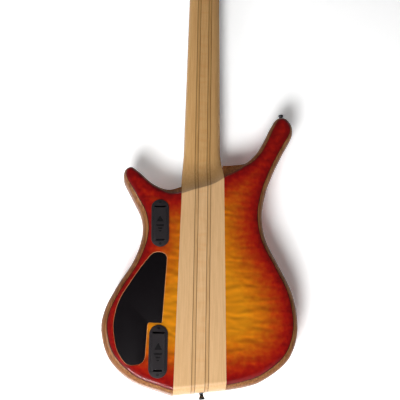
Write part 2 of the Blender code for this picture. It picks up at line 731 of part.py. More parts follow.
def tub_cutter(side):
    """The routed pocket for a battery tub."""
    width, depth, length = tub_size()
    room = 0.5 * MM
    pocket = box((-width / 2 - room, -depth - room, -length / 2 - room),
                 (width / 2 + room, 20 * MM, length / 2 + room))
    pocket.transform(box_matrix(side))
    return add_object(f"tub_pocket_{side}", pocket, cutter=True)


def pot_hole_cutter(name):
    across, height = KNOB_PLACES[name]
    hole = moved(cylinder(POT_BUSH_RADIUS + GAP, -10 * MM, CAVITY_FLOOR_Y + 5 * MM, sides=12),
                 (across, 0, height))
    return add_object(name + "_hole", hole, cutter=True)


def jack_x():
    """Where the treble rim is at the jack's height."""
    rows = spline_through(TREBLE_RIM, 12)[:, :2] * MM + np.array([0, BODY_DOWN])
    bout = rows[rows[:, 1] < -700 * MM + BODY_DOWN]
    return float(np.interp(-JACK_Z, -bout[:, 1], bout[:, 0]))


def along_x(mesh):
    """Turn a shape built along Y so that it points along +X."""
    mesh.transform(Matrix.Rotation(-math.pi / 2, 4, "Z"))
    return mesh


def jack_hole_cutter():
    hole = along_x(cylinder(JACK_RADIUS + GAP, -40 * MM, 10 * MM, sides=16))
    return add_object("jack_hole", moved(hole, (jack_x(), EDGE_MIDDLE, JACK_Z)), cutter=True)


def build_body():
    room = block_cutter()
    cove = cove_cutter()
    pickups = [pickup_cutter(0), pickup_cutter(1)]
    laminations(neck_blank(pickups))
    tubs = [tub_cutter(side) for side in BATTERY_BOXES]
    pots = [pot_hole_cutter(name) for name in KNOB_PLACES]
    wing("body_wing_treble", TREBLE_RIM,
         [room, cove, *pickups, cavity_cutter(), *tubs, *pots, jack_hole_cutter()])
    wing("body_wing_bass", BASS_RIM, [room, cove, *pickups])
    back = (BODY_THICKNESS - BACK_CAP_THICK, BODY_THICKNESS - 0.8 * MM, BODY_THICKNESS)
    front = (0.0, 0.8 * MM, TOP_CAP_THICK)
    cap("back_cap_treble", TREBLE_RIM, back, [room, cove, cover_opening(), *tubs])
    cap("back_cap_bass", BASS_RIM, back, [room, cove])
    cap("top_cap_treble", TREBLE_RIM, front, [room, *pickups, *pots])
    cap("top_cap_bass", BASS_RIM, front, [room, *pickups])


def fret_z(number):
    return -SCALE_LENGTH * (1 - 2 ** (-number / 12))


def build_fretboard():
    """A crowned board whose surface rises over each fret."""
    stations = [(-GAP, 0.0)]
    for number in range(1, LAST_FRET + 1):
        z = fret_z(number)
        half = FRET_WIDTH / 2
        stations += [(z + half, 0.0), (z + half / 3, FRET_HEIGHT)]
        stations += [(z - half / 3, FRET_HEIGHT), (z - half, 0.0)]
    stations.append((FRETBOARD_END_Z, 0.0))
    rings = []
    for z, rise in stations:
        half = neck_half_width(z)
        ring = [(half, -GAP, z), (-half, -GAP, z)]
        for u in (-1, -0.5, 0, 0.5, 1):
            surface = FRETBOARD_THICK - FRETBOARD_CROWN * u * u + rise
            ring.append((half * u, -GAP - surface, z))
        rings.append(ring)
    add_object("fretboard", loft(rings), EBONY)


def string_x(number, z):
    """Across position of a string at a height between nut and bridge."""
    place = (3 - number) / 4
    along = -z / SCALE_LENGTH
    return place * (STRING_SPREAD_NUT + (STRING_SPREAD_BRIDGE - STRING_SPREAD_NUT) * along)


def build_nut():
    half = neck_half_width(0)
    nut = add_object("nut", box((-half, -NUT_HEIGHT, 0), (half, -GAP, NUT_THICK), 0.8 * MM, 1), BLACK_PLASTIC)
    for number, radius in enumerate(STRING_RADII, 1):
        x = string_x(number, 0)
        width = radius + GAP
        slot = box((x - width, -20 * MM, -5 * MM), (x + width, STRING_Y_NUT + radius + GAP, 15 * MM))
        boolean(nut, add_object(f"nut_slot_{number}", slot, cutter=True))


def build_truss_rod():
    half = TRUSS_ROD_WIDTH / 2
    rod = box((-half, 1 * MM, TRUSS_ROD_END_Z), (half, TRUSS_ROD_DEPTH, 12 * MM))
    socket_end = moved(cylinder(half - GAP, 0, 11 * MM, sides=6), turn=Matrix.Rotation(math.pi / 2, 4, "X"))
    moved(socket_end, (0, (1 * MM + TRUSS_ROD_DEPTH) / 2 + 1 * MM, 8 * MM))
    add_object("truss_rod", joined("truss_rod", [rod, socket_end]), STEEL)


def build_head_plates(head):
    """The veneer on the headstock's face and the little cover over the truss rod's end."""
    clear_of_nut = [(across, max(along, 1.2), radius) for across, along, radius in HEAD_CORNERS]
    face = plate(rounded_outline(clear_of_nut, 3), 0, VENEER_THICK)
    veneer = add_object("headstock_veneer", face, EBONY, parent=head)
    for number, (across, along) in TUNER_PLACES.items():
        drill = cylinder(BUSHING_RADIUS + GAP, -5 * MM, 5 * MM, 12)
        hole = add_object(f"veneer_hole_{number}", drill, cutter=True, parent=head)
        hole.location = (across, 0, along)
        boolean(veneer, hole)
    slot = box((-ROD_SLOT_WIDTH / 2, -5 * MM, -5 * MM), (ROD_SLOT_WIDTH / 2, 5 * MM, 26 * MM))
    boolean(veneer, add_object("veneer_rod_opening", slot, cutter=True, parent=head))
    cover = plate(rounded_outline(ROD_COVER_CORNERS, 3), -GAP - ROD_COVER_THICK, -GAP)
    add_object("truss_rod_cover", cover, BLACK_PLASTIC, parent=head)


def build_tuner(number, head):
    """A sealed machine head: housing with its bushing, the string post and the key."""
    across, along = TUNER_PLACES[number]
    side = 1 if across > 0 else -1
    seat = add_empty(f"tuner_seat_{number}", (across, 0, along), parent=head)
    back = VENEER_THICK + GAP + HEAD_THICK + GAP
    width, depth, length = HOUSING_SIZE
    worm_y = back + depth / 2
    housing = box((-width / 2, back, -length / 2), (width / 2, back + depth, length / 2), 3 * MM, 2)
    bushing = cylinder(BUSHING_RADIUS, -3 * MM, back + 2 * MM, 12)
    washer = cylinder(BUSHING_RADIUS + 2 * MM, -GAP - 1.2 * MM, -GAP, 12)
    frame_mesh = joined(f"frame_{number}", [housing, bushing, washer])
    frame = add_object(f"tuner_frame_{number}", frame_mesh, BLACK_METAL, parent=seat)
    post_room = cylinder(POST_RADIUS + GAP, -10 * MM, back + 3 * MM, 12)
    boolean(frame, add_object(f"post_room_{number}", post_room, cutter=True, parent=seat))
    key_room = along_x(cylinder(KEY_SHAFT_RADIUS + GAP, side * 4 * MM, side * 20 * MM, 10))
    moved(key_room, (0, worm_y, WORM_OFFSET))
    boolean(frame, add_object(f"key_room_{number}", key_room, cutter=True, parent=seat))
    top = -16 * MM
    waist = POST_RADIUS * 0.95
    profile = ((0, -top), (POST_RADIUS + 0.9 * MM, -top), (POST_RADIUS + 1.2 * MM, -top - 1 * MM),
               (POST_RADIUS + 1.2 * MM, -top - 2 * MM), (waist, -top - 3.2 * MM), (waist, 5 * MM),
               (POST_RADIUS, 4 * MM), (POST_RADIUS, -back - 2 * MM), (0, -back - 2 * MM))
    post = moved(turned(profile, 12), turn=Matrix.Rotation(math.pi / 2, 4, "X"))
    add_object(f"tuner_post_{number}", post, BLACK_METAL, parent=seat)
    shaft = along_x(cylinder(KEY_SHAFT_RADIUS, side * 5 * MM, side * 27 * MM, 10))
    button = box((-11 * MM, -4 * MM, -8 * MM), (11 * MM, 4 * MM, 8 * MM), 3.2 * MM, 2)
    moved(button, (side * 36 * MM, 0, 0))
    key_mesh = joined(f"key_{number}", [shaft, button])
    key = add_object(f"tuner_key_{number}", key_mesh, BLACK_METAL, parent=seat)
    key.location = (0, worm_y, WORM_OFFSET)


def winding(number):
    """The turns of a string round its post, in the headstock's frame, from the post's inner side."""
    radius = STRING_RADII[number - 1]
    across, along = TUNER_PLACES[number]
    side = 1 if across > 0 else -1
    ring = POST_RADIUS + radius + GAP
    pitch = 2 * radius + 0.5 * MM
    steps = round(STRING_TURNS * 12)
    points = []
    for step in range(steps + 1):
        angle = 2 * math.pi * step / 12
        points.append((across - side * ring * math.cos(angle),
                       -STRING_ABOVE_HEAD + pitch * angle / (2 * math.pi) - 0.5 * pitch,
                       along + ring * math.sin(angle)))
    return [head_frame() @ Vector(point) for point in points]


def build_string(number):
    """One string: ball end behind the bridge wall, over saddle and nut, and round its post."""
    radius = STRING_RADII[number - 1]
    x = string_x(number, -SCALE_LENGTH)
    ball = 2.6 * MM
    notch_y = -BRIDGE_PLATE - GAP - ball - 0.6 * MM
    behind_wall = BRIDGE_WALL_Z - BRIDGE_WALL
    route = [
        (x, notch_y, behind_wall - 5 * MM, ball), (x, notch_y, behind_wall - 0.6 * MM, ball),
        (x, notch_y, behind_wall - 0.4 * MM, radius), (x, notch_y, BRIDGE_WALL_Z + 2 * MM, radius),
        (x, STRING_Y_SADDLE + 0.4 * MM, -SCALE_LENGTH - 3 * MM, radius),
        (x, STRING_Y_SADDLE, -SCALE_LENGTH, radius),
        (string_x(number, 0), STRING_Y_NUT, 0, radius),
        (string_x(number, 0), STRING_Y_NUT + 0.3 * MM, NUT_THICK, radius),
    ]
    turns = winding(number)
    points = [Vector(row[:3]) for row in route] + turns
    radii = [row[3] for row in route] + [radius] * len(turns)
    add_object(f"string_{number}", tube(points, radii), STEEL)
    own_gap = min((turns[i] - turns[j]).length - 2 * radius
                  for i in range(len(turns)) for j in range(i + 9, len(turns)))
    print(f"string {number}: least gap between its turns {own_gap / MM:.2f} mm")


def build_bridge():
    wall_z = BRIDGE_WALL_Z
    top = wall_z + BRIDGE_LENGTH - BRIDGE_WALL
    half = BRIDGE_WIDTH / 2
    base = box((-half, -GAP - BRIDGE_PLATE, wall_z - BRIDGE_WALL), (half, -GAP, top), 0.8 * MM, 1)
    wall = box((-half, -GAP - BRIDGE_WALL_HEIGHT, wall_z - BRIDGE_WALL),
               (half, -GAP - 1 * MM, wall_z), 1 * MM, 1)
    rails = []
    for side in (-1, 1):
        middle = side * (half - RAIL_THICK / 2)
        rails.append(box((middle - RAIL_THICK / 2, -GAP - 7 * MM, wall_z - 1 * MM),
                         (middle + RAIL_THICK / 2, -GAP - 1 * MM, top), 0.6 * MM, 1))
    bridge = add_object("bridge_plate", joined("bridge", [base, wall, *rails]), BLACK_METAL)
    for number, radius in enumerate(STRING_RADII, 1):
        x = string_x(number, -SCALE_LENGTH)
        notch = box((x - radius - GAP, -30 * MM, wall_z - 20 * MM),
                    (x + radius + GAP, -GAP - BRIDGE_PLATE - 1.2 * MM, wall_z + 20 * MM))
        boolean(bridge, add_object(f"bridge_notch_{number}", notch, cutter=True))
        add_object(f"saddle_{number}", saddle_shape(number, radius), BLACK_METAL)


def saddle_shape(number, radius):
    """A saddle block whose back slopes up to the string's crest, grooved along the string."""
    x = string_x(number, -SCALE_LENGTH)
    foot = -GAP - BRIDGE_PLATE - GAP
    crest = STRING_Y_SADDLE + radius + GAP
    half = SADDLE_WIDTH / 2
    z = -SCALE_LENGTH
    side_view = ((foot, z + 6 * MM), (crest + 3 * MM, z + 6 * MM), (crest, z + 1.5 * MM),
                 (crest, z - 1.5 * MM), (foot - 1.2 * MM, z - SADDLE_LENGTH + 7 * MM),
                 (foot, z - SADDLE_LENGTH + 7 * MM))
    return loft([[(x + share * half, y, height) for y, height in side_view] for share in (-1, 1)])


def build_pickups():
    for name, z in zip(("pickup_neck", "pickup_bridge"), PICKUP_Z):
        shell = box((-PICKUP_WIDTH / 2, -PICKUP_PROUD, z - PICKUP_LENGTH / 2),
                    (PICKUP_WIDTH / 2, PICKUP_DEPTH, z + PICKUP_LENGTH / 2), 2 * MM, 2)
        add_object(name, shell, BLACK_PLASTIC)


def build_controls():
    """The potentiometers on their board behind the front, and a knob on each shaft."""
    board_y = CAVITY_FLOOR_Y + GAP + 11 * MM
    shapes = []
    for name, (across, height) in KNOB_PLACES.items():
        body = cylinder(POT_BODY_RADIUS, CAVITY_FLOOR_Y + GAP, board_y + 0.5 * MM, 12)
        bush = cylinder(POT_BUSH_RADIUS, -1.2 * MM, CAVITY_FLOOR_Y + 2 * MM, 12)
        shaft = cylinder(POT_SHAFT_RADIUS, -10 * MM, CAVITY_FLOOR_Y, 12)
        shapes += [moved(shape, (across, 0, height)) for shape in (body, bush, shaft)]
        height_low = -GAP - 1.4 * MM
        profile = ((0, KNOB_HEIGHT - height_low), (6.5 * MM, KNOB_HEIGHT - height_low),
                   (8.6 * MM, KNOB_HEIGHT - height_low - 1.5 * MM), (KNOB_RADIUS, 3 * MM),
                   (KNOB_RADIUS, -height_low), (POT_BUSH_RADIUS + 1 * MM, -height_low),
                   (POT_BUSH_RADIUS + 1 * MM, 3.5 * MM), (POT_SHAFT_RADIUS + GAP, 3.5 * MM),
                   (POT_SHAFT_RADIUS + GAP, 10.5 * MM), (0, 10.5 * MM))
        knob = moved(turned(profile, 20), turn=Matrix.Rotation(math.pi / 2, 4, "X"))
        add_object(name, knob, BLACK_METAL, location=(across, 0, height))
    outline = [(x, z + BODY_DOWN) for x, z in rounded_outline(BOARD_CORNERS, 2)]
    board = plate(outline, board_y, board_y + 1.6 * MM)
    add_object("control_board", joined("controls", [board, *shapes]), BOARD_GREEN)
    cover = plate(cover_outline(), BODY_THICKNESS - BACK_CAP_THICK, BODY_THICKNESS)
    add_object("control_cover", cover, BLACK_PLASTIC)


def build_jack():
    """The barrel socket for the lead, flush in the treble edge, open at its mouth."""
    mouth = (jack_x(), EDGE_MIDDLE, JACK_Z)
    barrel = moved(along_x(cylinder(JACK_RADIUS, -JACK_LENGTH, 0, 16)), mouth)
    barrel = add_object("output_jack", barrel, BLACK_METAL)
    bore = moved(along_x(cylinder(JACK_BORE, -JACK_LENGTH + 2 * MM, 10 * MM, 48)), mouth)
    boolean(barrel, add_object("jack_bore", bore, cutter=True))


def build_battery_box(side):
    """A flip-out box: fixed housing, a door with its cradle, and the cell that rides in it."""
    seat = add_empty(f"battery_seat_{side}", (0, 0, 0))
    seat.matrix_world = box_matrix(side)
    width, depth, length = tub_size()
    flange = plate(pill(BOX_WIDTH, BOX_LENGTH), GAP, GAP + BOX_FLANGE)
    tub = box((-width / 2, -depth, -length / 2), (width / 2, GAP + 1 * MM, length / 2))
    shell = joined(f"housing_{side}", [flange, tub])
    housing = add_object(f"battery_housing_{side}", shell, BLACK_PLASTIC, parent=seat)
    inner = TUB_INNER_WIDTH / 2
    hollow = box((-inner, -depth + TUB_WALL, -length / 2 + TUB_WALL),
                 (inner, -0.6 * MM, length / 2 - TUB_WALL))
    mouth = box((-inner, -2 * MM, HINGE_FROM_CENTRE - 1.2 * MM),
                (inner, 20 * MM, HINGE_FROM_CENTRE + DOOR_LENGTH + GAP))
    for label, shape in (("hollow", hollow), ("mouth", mouth)):
        boolean(housing, add_object(f"box_{label}_{side}", shape, cutter=True, parent=seat))
    hinge_y = GAP + BOX_FLANGE - DOOR_THICK / 2
    hinge = add_empty(f"door_hinge_{side}", (0, hinge_y, HINGE_FROM_CENTRE), parent=seat)
    build_door(side, hinge)
    build_battery(side, hinge)


def build_door(side, hinge):
    """The lid plate with a knuckle at the hinge and two cheeks that grip the cell."""
    half = TUB_INNER_WIDTH / 2 - GAP
    thick = DOOR_THICK / 2
    cheek = 1.4 * MM
    end = CELL_START + BATTERY_SIZE[2] + BATTERY_STUD + GAP + CRADLE_END_THICK
    lid = box((-half, -thick, 0), (half, thick, DOOR_LENGTH - GAP))
    knuckle = along_x(cylinder(thick, -half, half, 8))
    shapes = [lid, knuckle]
    for sign in (-1, 1):
        outer, inner = sign * half, sign * (half - cheek)
        shapes.append(box((min(outer, inner), -CRADLE_DEPTH, CELL_START), (max(outer, inner), 0, end)))
    end_plate = box((-half + 0.5 * MM, -CRADLE_DEPTH, end - CRADLE_END_THICK), (half - 0.5 * MM, 0, end))
    shapes.append(end_plate)
    add_object(f"battery_door_{side}", joined(f"door_{side}", shapes), BLACK_PLASTIC, parent=hinge)


def build_battery(side, hinge):
    width, depth, length = BATTERY_SIZE
    top = -DOOR_THICK / 2 - GAP
    cell = box((-width / 2, top - depth, CELL_START), (width / 2, top, CELL_START + length), 1.5 * MM, 1)
    stud_y = top - depth / 2
    studs = []
    for offset in (-STUD_SPACING / 2, STUD_SPACING / 2):
        stud = cylinder(STUD_RADIUS, 0, -BATTERY_STUD - 1 * MM, 10)
        moved(stud, turn=Matrix.Rotation(-math.pi / 2, 4, "X"))
        studs.append(moved(stud, (0, stud_y + offset, CELL_START + length - 1 * MM)))
    add_object(f"battery_{side}", joined(f"cell_{side}", [cell, *studs]), CELL_CASE, parent=hinge)


def strap_button(name, place, direction):
    """A turned strap button: a slim neck that flares to a flat head."""
    top = STRAP_BUTTON_LENGTH
    foot = STRAP_BUTTON_NECK + 0.8 * MM
    profile = ((0, top), (STRAP_BUTTON_HEAD - 0.6 * MM, top),
               (STRAP_BUTTON_HEAD, top - 1 * MM), (STRAP_BUTTON_HEAD, top - 2 * MM),
               (STRAP_BUTTON_NECK, top - 5.5 * MM), (STRAP_BUTTON_NECK, 1.6 * MM),
               (foot, 0.6 * MM), (foot, GAP), (0, GAP))
    button = add_object(name, turned(profile, 16), BLACK_METAL, location=place)
    button.rotation_mode = "QUATERNION"
    button.rotation_quaternion = Vector(direction).to_track_quat("Z", "Y")


def build_strap_buttons():
    across = -3.7 * MM
    tail = (across, EDGE_MIDDLE, -TAIL_FROM_NUT + TAIL_SLANT * across)
    strap_button("strap_button_tail", tail, (TAIL_SLANT, 0, -1))
    strap_button("strap_button_horn", (-136 * MM, EDGE_MIDDLE, -479 * MM + BODY_DOWN), (0, 0, 1))


def build_headstock_hardware():
    head = add_empty("headstock_plane", (0, 0, 0))
    head.matrix_world = head_frame()
    build_head_plates(head)
    for number in TUNER_PLACES:
        build_tuner(number, head)


build_body()
build_fretboard()
build_nut()
build_truss_rod()
build_headstock_hardware()
for string_number in range(1, 6):
    build_string(string_number)
build_bridge()
build_pickups()
build_controls()
build_jack()
for box_side in BATTERY_BOXES:
    build_battery_box(box_side)
build_strap_buttons()
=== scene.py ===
# %% [markdown]
# # A neck-through bass guitar, seen from its back
# The bass hangs upright with its back towards us. The neck and the middle of the body are one
# blank of maple strips, and a walnut wing with a thin figured skin is glued to each side of it.
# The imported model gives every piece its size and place. This lesson gives each piece the shape
# and the finish that the eye expects, without moving anything.

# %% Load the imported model
import json
import math

import bmesh
import bpy
import numpy as np
from mathutils import Matrix, Vector

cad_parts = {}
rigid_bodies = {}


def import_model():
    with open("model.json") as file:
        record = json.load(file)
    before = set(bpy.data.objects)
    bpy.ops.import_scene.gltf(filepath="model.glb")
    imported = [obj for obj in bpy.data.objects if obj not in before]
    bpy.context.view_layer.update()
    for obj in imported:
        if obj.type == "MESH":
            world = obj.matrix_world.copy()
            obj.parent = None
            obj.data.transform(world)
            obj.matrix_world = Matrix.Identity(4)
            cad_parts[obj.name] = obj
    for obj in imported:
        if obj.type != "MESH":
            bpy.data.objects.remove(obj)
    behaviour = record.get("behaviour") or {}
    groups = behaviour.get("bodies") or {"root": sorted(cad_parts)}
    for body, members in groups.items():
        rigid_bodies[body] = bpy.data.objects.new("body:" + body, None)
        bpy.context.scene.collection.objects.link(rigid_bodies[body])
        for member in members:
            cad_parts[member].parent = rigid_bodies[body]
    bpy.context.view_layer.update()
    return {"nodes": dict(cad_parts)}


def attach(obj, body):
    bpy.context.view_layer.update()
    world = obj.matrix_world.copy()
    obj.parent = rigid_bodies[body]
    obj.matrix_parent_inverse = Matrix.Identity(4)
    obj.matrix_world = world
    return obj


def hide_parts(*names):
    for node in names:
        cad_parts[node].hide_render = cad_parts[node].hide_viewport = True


for leftover in list(bpy.data.objects):
    bpy.data.objects.remove(leftover, do_unlink=True)
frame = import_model()
MM = 0.001

# %% [markdown]
# ## The camera
# The photograph was taken from the tail side, looking up along the back, so the neck runs away
# from us and narrows. The camera is placed by three unit vectors: to the right, up, and back
# towards the photographer. They become the columns of its matrix.

# %% Set up the camera
CAMERA_PLACE = Vector((0.0861, 1.0984, -1.0448))
CAMERA_AIM = Vector((0.0049, 0.040, -0.6422))
CAMERA_ROLL = -0.018


def camera_matrix(place, aim, roll):
    """Columns right, up and back: back = place - aim, right = Z x back, then turned by the roll."""
    back = (place - aim).normalized()
    right = Vector((0, 0, 1)).cross(back).normalized()
    up = back.cross(right)
    cosine, sine = math.cos(roll), math.sin(roll)
    turned_right = cosine * right - sine * up
    turned_up = sine * right + cosine * up
    return Matrix.Translation(place) @ Matrix((turned_right, turned_up, back)).transposed().to_4x4()


camera_data = bpy.data.cameras.new("camera")
camera_data.lens = 63
camera_data.sensor_width = 36
camera_data.clip_start = 0.01
camera = bpy.data.objects.new("camera", camera_data)
bpy.context.scene.collection.objects.link(camera)
camera.matrix_world = camera_matrix(CAMERA_PLACE, CAMERA_AIM, CAMERA_ROLL)
bpy.context.scene.camera = camera
print("camera looks along", [round(value, 3) for value in -camera.matrix_world.col[2].xyz])

# %% [markdown]
# ## Growing node trees by short calls
# A material is a tree of nodes. Adding nodes one by one takes many lines, so one helper makes a
# node, sets its properties, and fills its inputs with values or with links from other nodes.

# %% Helpers for node trees


def add_node(tree, kind, inputs=None, **settings):
    """Make a node; a value given for an input is stored, a socket is linked."""
    node = tree.nodes.new("ShaderNode" + kind)
    for key, value in settings.items():
        setattr(node, key, value)
    for key, value in (inputs or {}).items():
        if isinstance(value, bpy.types.NodeSocket):
            tree.links.new(value, node.inputs[key])
        else:
            node.inputs[key].default_value = value
    return node


def mix_colours(tree, factor, first, second, blend="MIX"):
    """The blend of two colours; its factor, first and second inputs are numbers 0, 6 and 7."""
    node = add_node(tree, "Mix", {0: factor, 6: first, 7: second}, data_type="RGBA", blend_type=blend)
    return node.outputs[2]


def ramp(tree, factor, stops):
    """A colour ramp through (position, colour) stops; a colour may be one grey value."""
    node = add_node(tree, "ValToRGB", {0: factor})
    elements = node.color_ramp.elements
    while len(elements) < len(stops):
        elements.new(0.5)
    for element, (position, colour) in zip(elements, stops):
        element.position = position
        element.color = (*colour, 1) if isinstance(colour, tuple) else (colour, colour, colour, 1)
    return node.outputs[0]


def maths(tree, operation, first, second=0.0, clamp=False):
    node = add_node(tree, "Math", {0: first, 1: second}, operation=operation, use_clamp=clamp)
    return node.outputs[0]


def stretched(tree, vector, scale):
    """The vector with each axis scaled by itself, so that a pattern gets longer along one axis."""
    return add_node(tree, "Mapping", {"Vector": vector, "Scale": scale}).outputs[0]


def srgb(red, green, blue):
    """A colour given as 0 to 255, as the linear values that shaders use."""
    share = np.array([red, green, blue]) / 255
    linear = np.where(share <= 0.04045, share / 12.92, ((share + 0.055) / 1.055) ** 2.4)
    return tuple(float(value) for value in linear)


def rgba(red, green, blue):
    return (*srgb(red, green, blue), 1.0)


# %% [markdown]
# ## Effects that several materials share
# Wood grain, the quilt figure and fine scuffs each appear in more than one finish. Each is built
# once as a node group. A group only puts out masks and heights, and the material decides what
# they do to its colour, gloss and bump.

# %% Build the shared node groups


def new_group(name, inputs, outputs):
    """An empty shader group with named inputs (name, type, value) and float outputs."""
    group = bpy.data.node_groups.new(name, "ShaderNodeTree")
    for socket_name, kind, value in inputs:
        socket = group.interface.new_socket(name=socket_name, in_out="INPUT", socket_type="NodeSocket" + kind)
        if value is not None:
            socket.default_value = value
    for socket_name in outputs:
        group.interface.new_socket(name=socket_name, in_out="OUTPUT", socket_type="NodeSocketFloat")
    return group, group.nodes.new("NodeGroupInput").outputs, group.nodes.new("NodeGroupOutput").inputs


def grain_group():
    """Wood grain along Z: fine streaks, broad bands, and short dark pores."""
    group, given, out = new_group(
        "wood_grain", [("Vector", "Vector", None), ("Coarseness", "Float", 1.0)], ["Streaks", "Bands", "Pores"])
    wander = add_node(group, "TexNoise", {"Vector": stretched(group, given["Vector"], (9, 9, 3)), "Detail": 1.0})
    bent = add_node(group, "VectorMath", {0: wander.outputs["Color"], 1: (0.006, 0.006, 0.0)}, operation="MULTIPLY")
    place = add_node(group, "VectorMath", {0: given["Vector"], 1: bent.outputs[0]}, operation="ADD")
    coarse = add_node(group, "VectorMath", {0: place.outputs[0], "Scale": given["Coarseness"]}, operation="SCALE")
    along = coarse.outputs[0]
    streaks = add_node(group, "TexNoise", {"Vector": stretched(group, along, (700, 700, 16)), "Detail": 4.0})
    bands = add_node(group, "TexNoise", {"Vector": stretched(group, along, (95, 95, 3)), "Detail": 3.0})
    pores = add_node(group, "TexNoise", {"Vector": stretched(group, along, (2300, 2300, 130)), "Detail": 1.0})
    group.links.new(streaks.outputs[0], out["Streaks"])
    group.links.new(bands.outputs[0], out["Bands"])
    group.links.new(ramp(group, pores.outputs[0], [(0.56, 0.0), (0.68, 1.0)]), out["Pores"])
    return group


def quilt_group():
    """Quilted figure: soft pillows wider than tall, lighter on one flank and darker on the other.

    The height is smooth noise, and the figure is its slope: the height minus the height 4 mm on."""
    group, given, out = new_group("quilt_figure", [("Vector", "Vector", None)], ["Figure", "Height"])
    heights = []
    for shift in (0.0, 0.004):
        moved = add_node(group, "VectorMath", {0: given["Vector"], 1: (0.0, 0.0, shift)}, operation="ADD")
        pillow = add_node(group, "TexNoise", {"Vector": stretched(group, moved.outputs[0], (5.5, 0.0, 15)),
                                              "Detail": 1.2, "Distortion": 0.3})
        heights.append(pillow.outputs[0])
    slope = maths(group, "SUBTRACT", heights[0], heights[1])
    steeper = maths(group, "MULTIPLY", slope, 1.35)
    group.links.new(maths(group, "ADD", steeper, 0.5), out["Figure"])
    group.links.new(heights[0], out["Height"])
    return group


def scuffs_group():
    """Handling marks: broad smudges, and thin scratches that run in two directions."""
    group, given, out = new_group(
        "scuffs", [("Vector", "Vector", None), ("Size", "Float", 1.0)], ["Smudges", "Scratches"])
    sized = add_node(group, "VectorMath", {0: given["Vector"], "Scale": given["Size"]}, operation="SCALE").outputs[0]
    smudges = add_node(group, "TexNoise", {"Vector": stretched(group, sized, (55, 55, 40)), "Detail": 4.0})
    lines = []
    for turn, scale in ((0.7, (90, 90, 1900)), (-0.5, (1700, 90, 70))):
        turned = add_node(group, "Mapping", {"Vector": sized, "Rotation": (0, turn, 0), "Scale": scale})
        noise = add_node(group, "TexNoise", {"Vector": turned.outputs[0], "Detail": 2.0})
        lines.append(ramp(group, noise.outputs[0], [(0.66, 0.0), (0.74, 1.0)]))
    group.links.new(smudges.outputs[0], out["Smudges"])
    group.links.new(maths(group, "MAXIMUM", lines[0], lines[1]), out["Scratches"])
    return group


GRAIN = grain_group()
QUILT = quilt_group()
SCUFFS = scuffs_group()
print("node groups:", [group.name for group in bpy.data.node_groups])


def use_group(tree, group, inputs):
    node = add_node(tree, "Group")
    node.node_tree = group
    for key, value in inputs.items():
        if isinstance(value, bpy.types.NodeSocket):
            tree.links.new(value, node.inputs[key])
        else:
            node.inputs[key].default_value = value
    return node.outputs


# %% [markdown]
# ## Finishes
# Every finish starts from the Principled shader, with its steady values set on the shader's own
# sockets. Patterns read Object coordinates: all pieces lie in one frame, so the grain runs
# straight through the whole instrument, and nothing slides when the object is exported.

# %% Helper that starts a material


def new_material(name, **steady):
    """A material with its Principled shader; steady values go on the shader's own sockets."""
    material = bpy.data.materials.new(name)
    material.use_nodes = True
    tree = material.node_tree
    shader = tree.nodes["Principled BSDF"]
    for key, value in steady.items():
        shader.inputs[key.replace("_", " ").title().replace("Ior", "IOR")].default_value = value
    place = tree.nodes.new("ShaderNodeTexCoord").outputs["Object"]
    return material, tree, shader, place


def drive(tree, shader, colour=None, roughness=None, height=None, strength=0.2, depth=0.0001):
    """Link what varies over the surface: colour, roughness, and a height through a Bump node."""
    if colour is not None:
        tree.links.new(colour, shader.inputs["Base Color"])
    if roughness is not None:
        tree.links.new(roughness, shader.inputs["Roughness"])
    if height is not None:
        bump = add_node(tree, "Bump", {"Height": height, "Strength": strength, "Distance": depth})
        tree.links.new(bump.outputs[0], shader.inputs["Normal"])


def spread(tree, value, low, high):
    """A mask of 0 to 1 stretched to run from low to high."""
    return add_node(tree, "MapRange", {"Value": value, "To Min": low, "To Max": high}).outputs[0]


# %% [markdown]
# ### Maple
# The neck blank is plain hard maple under a thin clear finish. Its grain shows as faint tan
# streaks along the neck, with a broader drift of pink and pale bands and small dark pores. The
# middle lamination has a few bars of flame across its grain. The
# two stringers are a browner maple between two dark veneers, less than a millimetre thick. The
# veneers are painted where they lie, by how far a point is from the middle of the neck.

# %% Make the maple finishes


def from_middle(tree, place):
    """How far a point is from the middle of the neck: the size of its X."""
    across = add_node(tree, "SeparateXYZ", {0: place}).outputs["X"]
    return maths(tree, "ABSOLUTE", across)


def near(tree, value, centre, reach):
    """1 at the centre, falling to 0 at the reach: 1 - |value - centre| / reach."""
    away = maths(tree, "ABSOLUTE", maths(tree, "SUBTRACT", value, centre))
    return maths(tree, "SUBTRACT", 1.0, maths(tree, "DIVIDE", away, reach), clamp=True)


def painted_shade_facing_up(tree, colour, shade_tint):
    """Painted shade: darken the wood where its surface faces up the neck, as in the heel's cove, where shade falls."""
    facing = add_node(tree, "TexCoord").outputs["Normal"]
    upward = add_node(tree, "SeparateXYZ", {0: facing}).outputs["Z"]
    share = add_node(tree, "MapRange", {"Value": upward, "From Min": 0.05, "From Max": 0.6}).outputs[0]
    return mix_colours(tree, share, colour, (*shade_tint, 1.0), "MULTIPLY")


